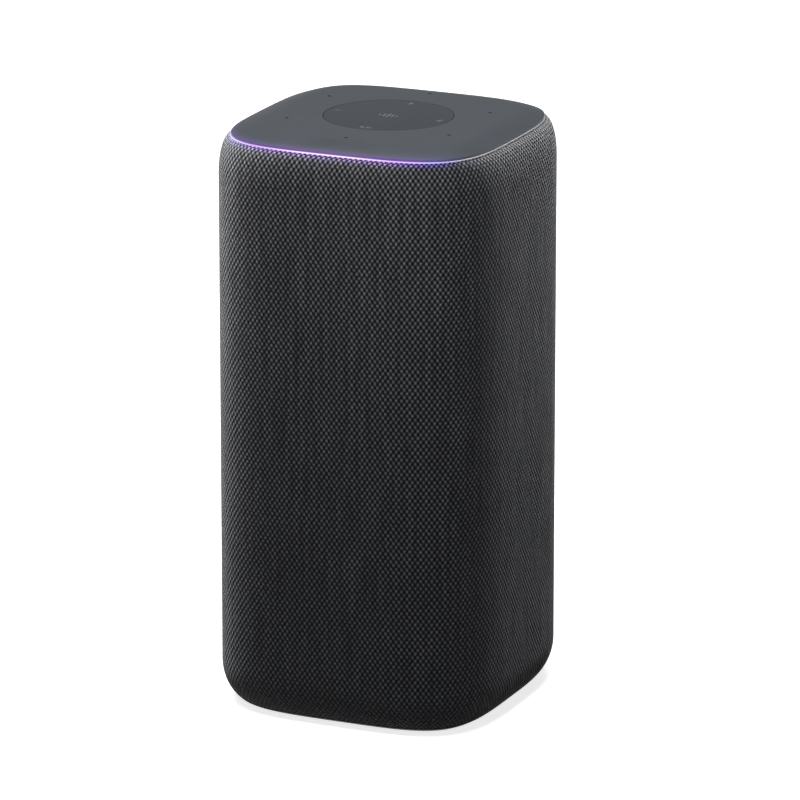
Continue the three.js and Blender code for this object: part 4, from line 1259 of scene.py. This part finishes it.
@dataclass
class Woofer:
    """The up-firing woofer: basket, motor, coil, cone, cap, surround and spider."""

    body: str = "woofer_mover"
    columns: int = 120
    windows: int = 6  # in the basket
    window_half: float = 9 * MM
    flange: float = 3 * MM  # thickness of the flange
    flange_in: float = 6.8 * MM  # from its edge in to the hole that it hangs in
    basket_wall: float = 1.8 * MM
    seat: float = 2.5 * MM  # thickness of the magnet's seat
    metal_ease: float = 0.5 * MM
    vent: float = 4 * MM  # hole through the pole
    wire: float = 0.6 * MM  # thickness of the coil's winding
    wound: float = 10 * MM  # height of the winding
    cone_wall: float = 0.9 * MM
    cone_bow: float = 1.6 * MM  # how far the cone curves out of straight
    ripple: float = 0.12 * MM  # of the seven rings pressed in the cone
    cap_wall: float = 0.7 * MM
    spider_wall: float = 0.4 * MM
    spider_swing: float = 0.6 * MM
    spider_waves: float = 5.5

    def make(self) -> None:
        """Builds its nine pieces."""
        self.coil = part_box("woofer_voice_coil")[1].x
        self.make_basket()
        self.make_motor()
        self.make_moving()
        surround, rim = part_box("woofer_surround"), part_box("woofer_cone")[1].x
        Roll("woofer", "rubber_roll", surround[1].x, rim - MM, surround[0].z, 0.6 * MM).make()
        self.make_spider()

    def solid(self, name: str, profile: ArrayLike, ease: float) -> Piece:
        """A turned ring with its corners eased."""
        return from_rings(name, turned(eased(profile, ease, 2), self.columns), True)

    def make_basket(self) -> None:
        """The basket: a flange, a cone of spokes with round-ended windows, and a seat for the magnet."""
        low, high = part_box("woofer_basket")
        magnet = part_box("woofer_magnet")[1].x
        foot, seat_top, under = low.z, low.z + self.seat, high.z - self.flange
        hole = high.x - self.flange_in
        mouth, inner, step = hole - self.basket_wall, self.coil + 1.3 * MM, under + 0.3 * MM
        profile = [
            (inner, foot), (magnet + MM, foot), (hole, under - 6 * MM), (hole, step), (high.x, step),
            (high.x, under + self.flange), (mouth, under + self.flange), (mouth, under - 5 * MM),
            (magnet, seat_top), (inner, seat_top),
        ]
        basket = self.solid("spoked_basket", profile, 0.3 * MM)
        middle = np.array((0, 0, (foot + under - 2 * MM) / 2))
        size = np.array((160 * MM, 2 * self.window_half, under - foot - 18 * MM))
        for i in range(self.windows // 2):
            cut = blocks("window", middle, size, 3 * MM)
            cut.data.transform(Matrix.Rotation(2 * math.pi * i / self.windows, 4, "Z"))
            carved(basket, cut)
        fit(basket, "black_plastic", ("woofer_basket",))

    def make_motor(self) -> None:
        """Top plate, magnet and yoke with its pole."""
        for name, node, slot, clear in (
            ("motor_plate", "woofer_top_plate", "steel", 0.7 * MM),
            ("motor_magnet", "woofer_magnet", "ferrite", 3.4 * MM),
        ):
            low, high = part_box(node)
            inner = self.coil + clear
            ring = [(inner, low.z), (high.x, low.z), (high.x, high.z), (inner, high.z)]
            fit(self.solid(name, ring, self.metal_ease), slot, (node,))
        low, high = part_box("woofer_yoke")
        pole = self.coil - 1.9 * MM
        plate_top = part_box("woofer_magnet")[0].z - 0.3 * MM
        profile = [
            (self.vent, low.z), (high.x, low.z), (high.x, plate_top), (pole, plate_top),
            (pole, high.z), (self.vent, high.z),
        ]
        fit(self.solid("motor_yoke", profile, self.metal_ease), "steel", ("woofer_yoke",))

    def make_moving(self) -> None:
        """Voice coil, cone and dust cap."""
        low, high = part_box("woofer_voice_coil")
        wire, coil, wound = self.wire, self.coil - self.wire, low.z + self.wound
        former = [
            (coil - wire, low.z), (coil + wire, low.z), (coil + wire, wound), (coil, wound),
            (coil, high.z), (coil - wire, high.z),
        ]
        piece = self.solid("wound_coil", former, 0.1 * MM)
        fit(piece, "coil_wire", ("woofer_voice_coil",), self.body)

        low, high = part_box("woofer_cone")
        neck, wall = coil + 0.5 * MM, self.cone_wall
        k = np.linspace(0, 1, 25)
        pressed = self.cone_bow * np.sin(k * math.pi) + self.ripple * np.sin(k * 44)
        under = low.z + (high.z - wall - low.z) * k + pressed
        profile = band(neck + (high.x - neck) * k, under, under + wall)
        cone = from_rings("pulp_cone", turned(profile, self.columns), True)
        fit(cone, "paper", ("woofer_cone",), self.body)

        low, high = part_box("woofer_dust_cap")
        rise, wall = high.z - low.z, self.cap_wall
        outer = arc((0, low.z), (high.x, rise), 0, 90, 14)
        inner = arc((0, low.z), (high.x - wall, rise - wall), 90, 0, 14)
        cap = from_rings("dust_dome", turned(np.vstack((outer, inner)), self.columns), True)
        fit(cap, "paper", ("woofer_dust_cap",), self.body)

    def make_spider(self) -> None:
        """The corrugated spider between the coil and the basket."""
        low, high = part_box("woofer_spider")
        inner, outer, half = self.coil - 0.5 * MM, high.x, self.spider_wall / 2
        reach = np.linspace(inner, outer, 90)
        turns = (reach - inner) / (outer - inner) * self.spider_waves
        wave = (low.z + high.z) / 2 + self.spider_swing * np.sin(turns * 2 * math.pi)
        profile = band(reach, wave - half, wave + half)
        spider = from_rings("corrugated_spider", turned(profile, self.columns), True)
        distance = np.linalg.norm(vertices(spider)[:, :2], axis=1)
        flexing(spider, "spider_cloth", "woofer_spider", self.body, distance, (outer, inner))


@dataclass
class SideDriver:
    """A driver that faces sideways. A kind of driver says what it is made of."""

    side: str
    bearing: float  # the way it faces, in radians from +X
    kind: str = ""
    columns: int = 120

    def __post_init__(self) -> None:
        """Works out its name and its body."""
        self.name = f"{self.kind}_{self.side}"
        self.body = f"{self.name}_mover"

    def face(self, part: str, profile: ArrayLike, slot: str, node: str, body: str, closed: bool) -> None:
        """Turns an outline, faces it outwards and fits it.

        Args:
            part: Last word of the piece's name.
            profile: The outline of (radius, distance from the speaker's axis).
            slot: The record's material slot.
            node: Last word of the frame's node that it stands for.
            body: The body that it moves with.
            closed: Whether the outline's last corner joins its first.
        """
        rings = laid(turned(profile, self.columns), self.bearing, self.height)
        fit(from_rings(f"{self.name}_{part}", rings, closed), slot, (f"{self.name}_{node}",), body)


@dataclass
class Radiator(SideDriver):
    """A passive radiator in a side of the cabinet: frame, weighted plate and surround."""

    kind: str = "radiator"
    rim: float = 6.4 * MM
    hole: float = 5.3 * MM  # from the frame's edge in to the hole that it hangs in
    flange: float = 2.2 * MM
    plate_edge: float = 0.4 * MM  # fall of the plate towards its edge
    dish: float = 0.9 * MM  # depth of the plate's middle
    roll_wall: float = 0.8 * MM

    def ends(self, part: str) -> tuple[float, float]:
        """How far the near and the far end of a part lie from the middle, along X."""
        low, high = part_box(f"{self.name}_{part}")
        return tuple(sorted((abs(low.x), abs(high.x))))

    def make(self) -> None:
        """Builds its three pieces."""
        self.height, radius = round_size(f"{self.name}_frame")
        back, face = self.ends("frame")
        inner, hole, shoulder = radius - self.rim, radius - self.hole, face - self.flange
        frame_profile = [
            (inner, back), (hole, back), (hole, shoulder), (radius, shoulder), (radius, face), (inner, face),
        ]
        self.face("bezel", eased(frame_profile, 0.5 * MM), "black_plastic", "frame", HOUSING, True)

        reach = round_size(f"{self.name}_plate")[1]
        rear, front = self.ends("plate")
        sunk = front - self.dish
        plate = [
            (0, rear), (reach, rear), (reach, front - self.plate_edge), (reach - 3 * MM, front),
            (reach * 0.55, front), (reach * 0.5, sunk), (0, sunk),
        ]
        outline = eased(plate, 0.3 * MM, 3, closed=False)
        self.face("weight", outline, "aluminium", "plate", self.body, False)

        outer, level = round_size(f"{self.name}_surround")[1], self.ends("surround")[0] + 0.4 * MM
        Roll(self.name, f"{self.name}_roll", outer, reach - 0.8 * MM, level, self.roll_wall,
             bearing=self.bearing, height=self.height).make()


@dataclass
class Tweeter(SideDriver):
    """A dome tweeter: housing with a short horn, dome and surround."""

    kind: str = "tweeter"
    columns: int = 96
    lip: float = 2.2 * MM  # thickness of the front flange
    horn: float = 5.5 * MM  # depth of the cavity
    horn_in: float = 5 * MM  # from the housing's edge in to the cavity
    spring: float = 3.8 * MM  # from the face in to where the dome springs
    dome_wall: float = 0.35 * MM
    roll_wall: float = 0.25 * MM
    roll_land: float = 0.3 * MM

    def make(self) -> None:
        """Builds its three pieces."""
        self.height, radius = round_size(f"{self.name}_housing")
        out = np.array((math.cos(self.bearing), math.sin(self.bearing), 0))
        depths = vertices(frame["nodes"][f"{self.name}_housing"]) @ out
        face, back = float(depths.max()), float(depths.min())
        barrel, mouth = radius - MM, radius - self.horn_in
        cavity, lip = face - self.horn, face - self.lip
        profile = [
            (0, back), (barrel, back), (barrel, lip), (radius, lip), (radius, face), (mouth + 2 * MM, face),
            (mouth + 0.2 * MM, face - 1.6 * MM), (mouth, cavity), (0, cavity),
        ]
        outline = eased(profile, 0.4 * MM, 3, closed=False)
        self.face("pot", outline, "black_plastic", "housing", HOUSING, False)

        reach = round_size(f"{self.name}_dome")[1]
        root, rise, spring = cavity + 0.8 * MM, face - MM - (face - self.spring), face - self.spring
        thin = reach - self.dome_wall
        outer = np.vstack(([(reach, root)], arc((0, spring), (reach, rise), 0, 90, 12)))
        inner = np.vstack((arc((0, spring), (thin, rise - self.dome_wall), 90, 0, 12), [(thin, root)]))
        self.face("cap", np.vstack((outer, inner)), "silk", "dome", self.body, True)
        Roll(self.name, f"{self.name}_roll", mouth - 0.3 * MM, reach - 0.1 * MM, spring, self.roll_wall,
             self.roll_land, self.bearing, self.height).make()


# ---- Electronics ---------------------------------------------------------------------------------
@dataclass
class Electronics:
    """Small parts on the main board: chips, sockets and passives, in rows."""

    chip: tuple[float, float, float] = (5 * MM, 6 * MM, 1 * MM)
    chip_pitch: float = 9 * MM
    chip_rows: int = 5
    socket: tuple[float, float, float] = (7 * MM, 4 * MM, 3 * MM)
    socket_pitch: float = 9.5 * MM
    sockets: int = 4
    passive: tuple[float, float, float] = (0.8 * MM, 1.6 * MM, 0.6 * MM)
    passive_pitch: float = 1.9 * MM
    passives: int = 8

    def row(self, start: tuple, step: tuple, count: int) -> np.ndarray:
        """Places in a straight row."""
        return np.asarray(start) + np.arange(count)[:, None] * np.asarray(step)

    def make(self) -> None:
        """Builds the rows."""
        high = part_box("main_board")[1]
        reach, size = high.x, self.chip
        level = high.z + size[2] / 2
        chips = np.vstack([
            self.row((x, -reach + self.chip_pitch, level), (0, self.chip_pitch, 0), self.chip_rows)
            for x in (-reach + 4 * MM, reach - 4 * MM)
        ])
        fit(blocks("board_chips", chips, size), "black_plastic", finish=PALETTE.chip)
        start = (-reach + 10 * MM, -reach + 3.5 * MM, high.z + self.socket[2] / 2)
        sockets = self.row(start, (self.socket_pitch, 0, 0), self.sockets)
        fit(blocks("board_sockets", sockets, self.socket), "black_plastic", finish=PALETTE.socket)
        start = (-reach + 8 * MM, reach - 3 * MM, high.z + self.passive[2] / 2)
        left = self.row(start, (self.passive_pitch, 0, 0), self.passives)
        both = np.vstack((left, left * (-1, 1, 1)))
        fit(blocks("board_passives", both, self.passive, 0.06 * MM), "steel")


# ---- Light, floor and camera ---------------------------------------------------------------------
ON_TOP = ("floor", "domed_cover", "touch_plate", "touch_marks", "light_strip")


@dataclass(frozen=True)
class Softbox:
    """A soft studio light that looks at the middle of the speaker."""

    name: str
    place: tuple[float, float, float]
    size: float
    power: float
    reaches: tuple[str, ...] = ("cloth_sleeve",)  # the only objects that it lights

    def make(self, aim: Vector) -> None:
        """Hangs the light."""
        data = bpy.data.lights.new(self.name, "AREA")
        data.shape, data.size, data.energy = "SQUARE", self.size, self.power
        lamp = bpy.data.objects.new(self.name, data)
        lamp.location = self.place
        lamp.rotation_euler = (aim - Vector(self.place)).to_track_quat("-Z", "Y").to_euler()
        lamp.visible_camera = False
        bpy.context.scene.collection.objects.link(lamp)
        lit = bpy.data.collections.new(f"{self.name}_reach")
        for name in self.reaches:
            lit.objects.link(bpy.data.objects[name])
        lamp.light_linking.receiver_collection = lit


@dataclass
class Studio:
    """A pale floor, soft light and the camera.

    The sky is pairs of a height, from 0 straight down to 1 overhead, and the brightness there.
    """

    half: float
    middle: float  # height that the view is centred on
    azimuth: float = 24.045
    elevation: float = 16.138
    lens: float = 293.1
    distance: float = 43.602  # in half-widths, as the two shifts are
    across: float = 0.07547
    up: float = 0.06684
    sky: tuple[tuple[float, float], ...] = ((0.46, 0.03), (0.5, 0.3), (0.6, 0.3), (0.8, 0.12))
    floor_reach: float = 8.0
    floor_glow: float = 0.75  # light that the floor gives off itself
    boxes: tuple[Softbox, ...] = (
        Softbox("left_light", (-0.34, 0.02, 0.5), 0.2, 13),
        Softbox("right_light", (0.11, 0.34, 0.48), 0.22, 8.5),
        Softbox("front_light", (0.06, -0.25, 0.5), 0.25, 1.9),
        Softbox("top_light", (0.0, -0.6, 2.4), 1.5, 95, ON_TOP),
    )

    def make(self) -> None:
        """Builds the studio."""
        scene = bpy.context.scene
        scene.view_settings.view_transform = "Standard"
        world = bpy.data.worlds.new("studio")
        world.use_nodes = True
        nodes, links = world.node_tree.nodes, world.node_tree.links
        apart = nodes.new("ShaderNodeSeparateXYZ")
        ramp = nodes.new("ShaderNodeValToRGB")
        links.new(nodes.new("ShaderNodeTexCoord").outputs["Generated"], apart.inputs[0])
        rise = nodes.new("ShaderNodeMapRange")
        rise.inputs[1].default_value = -1
        links.new(apart.outputs[2], rise.inputs[0])
        links.new(rise.outputs[0], ramp.inputs[0])
        links.new(ramp.outputs[0], nodes["Background"].inputs[0])
        marks = ramp.color_ramp.elements
        while len(marks) < len(self.sky):
            marks.new(0.5)
        for mark, (position, level) in zip(marks, self.sky):
            mark.position, mark.color = position, (level, level, level, 1)
        scene.world = world
        edge = np.column_stack((np.array(SQUARE) * self.floor_reach, np.zeros(4)))
        floor = built("floor", edge, [(0, 1, 2, 3)], tidy=False)
        paint = Shader("pale_floor", Base_Color=(0.93, 0.93, 0.93), Roughness=0.7,
                       Emission_Color=(1.0, 1.0, 1.0), Emission_Strength=self.floor_glow)
        floor.data.materials.append(paint.material)
        floor.visible_diffuse = False
        for box in self.boxes:
            box.make(Vector((0, 0, self.middle)))
        self.make_camera()

    def make_camera(self) -> None:
        """Sets the camera at its azimuth and elevation, moved across and up without turning."""
        data = bpy.data.cameras.new("camera")
        data.lens, data.sensor_width = self.lens, 36
        turn, tilt = math.radians(self.azimuth), math.radians(self.elevation)
        back = Vector((math.sin(turn) * math.cos(tilt), -math.cos(turn) * math.cos(tilt), math.sin(tilt)))
        right = Vector((math.cos(turn), math.sin(turn), 0))
        above = back.cross(right)
        offset = right * self.across + above * self.up + back * self.distance
        data.clip_start, data.clip_end = 0.1, 50
        camera = bpy.data.objects.new("camera", data)
        camera.matrix_world = Matrix.Translation(Vector((0, 0, self.middle)) + offset * self.half) @ Matrix(
            (right, above, back)).transposed().to_4x4()
        bpy.context.scene.collection.objects.link(camera)
        bpy.context.scene.camera = camera


# ---- Everything ----------------------------------------------------------------------------------
def dress_frame() -> None:
    """Gives every node of the frame that still shows the finish of its own slot."""
    slots = {part["node"]: part["material_slot"] for part in frame["record"]["subparts"]}
    for name, node in frame["nodes"].items():
        if node.hide_render:
            continue
        material = material_of(getattr(PALETTE, slots[name]))
        if not node.material_slots:
            node.data.materials.append(material)
        for slot in node.material_slots:
            slot.material = material
        LOG.info("%s wears %s", name, material.name)


def main() -> None:
    """Builds the speaker and its studio."""
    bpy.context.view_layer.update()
    sleeve_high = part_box("fabric_sleeve")[1]
    ring_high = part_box("light_ring")[1]
    column = Column(half=sleeve_high.x, shoulder_z=ring_high.z - MM)
    Sleeve(column).make()
    Top(column).make()
    Base(column).make()
    Woofer().make()
    for side, bearing in (("right", 0.0), ("left", math.pi)):
        Radiator(side, bearing).make()
    for side, degrees in (("front", -90), ("right", 30), ("left", 150)):
        Tweeter(side, math.radians(degrees)).make()
    Electronics().make()
    Studio(half=column.half, middle=column.shoulder_z / 2).make()
    dress_frame()


if __name__ == "__main__":
    logging.basicConfig(level=logging.INFO, format="%(name)s: %(message)s")
    main()
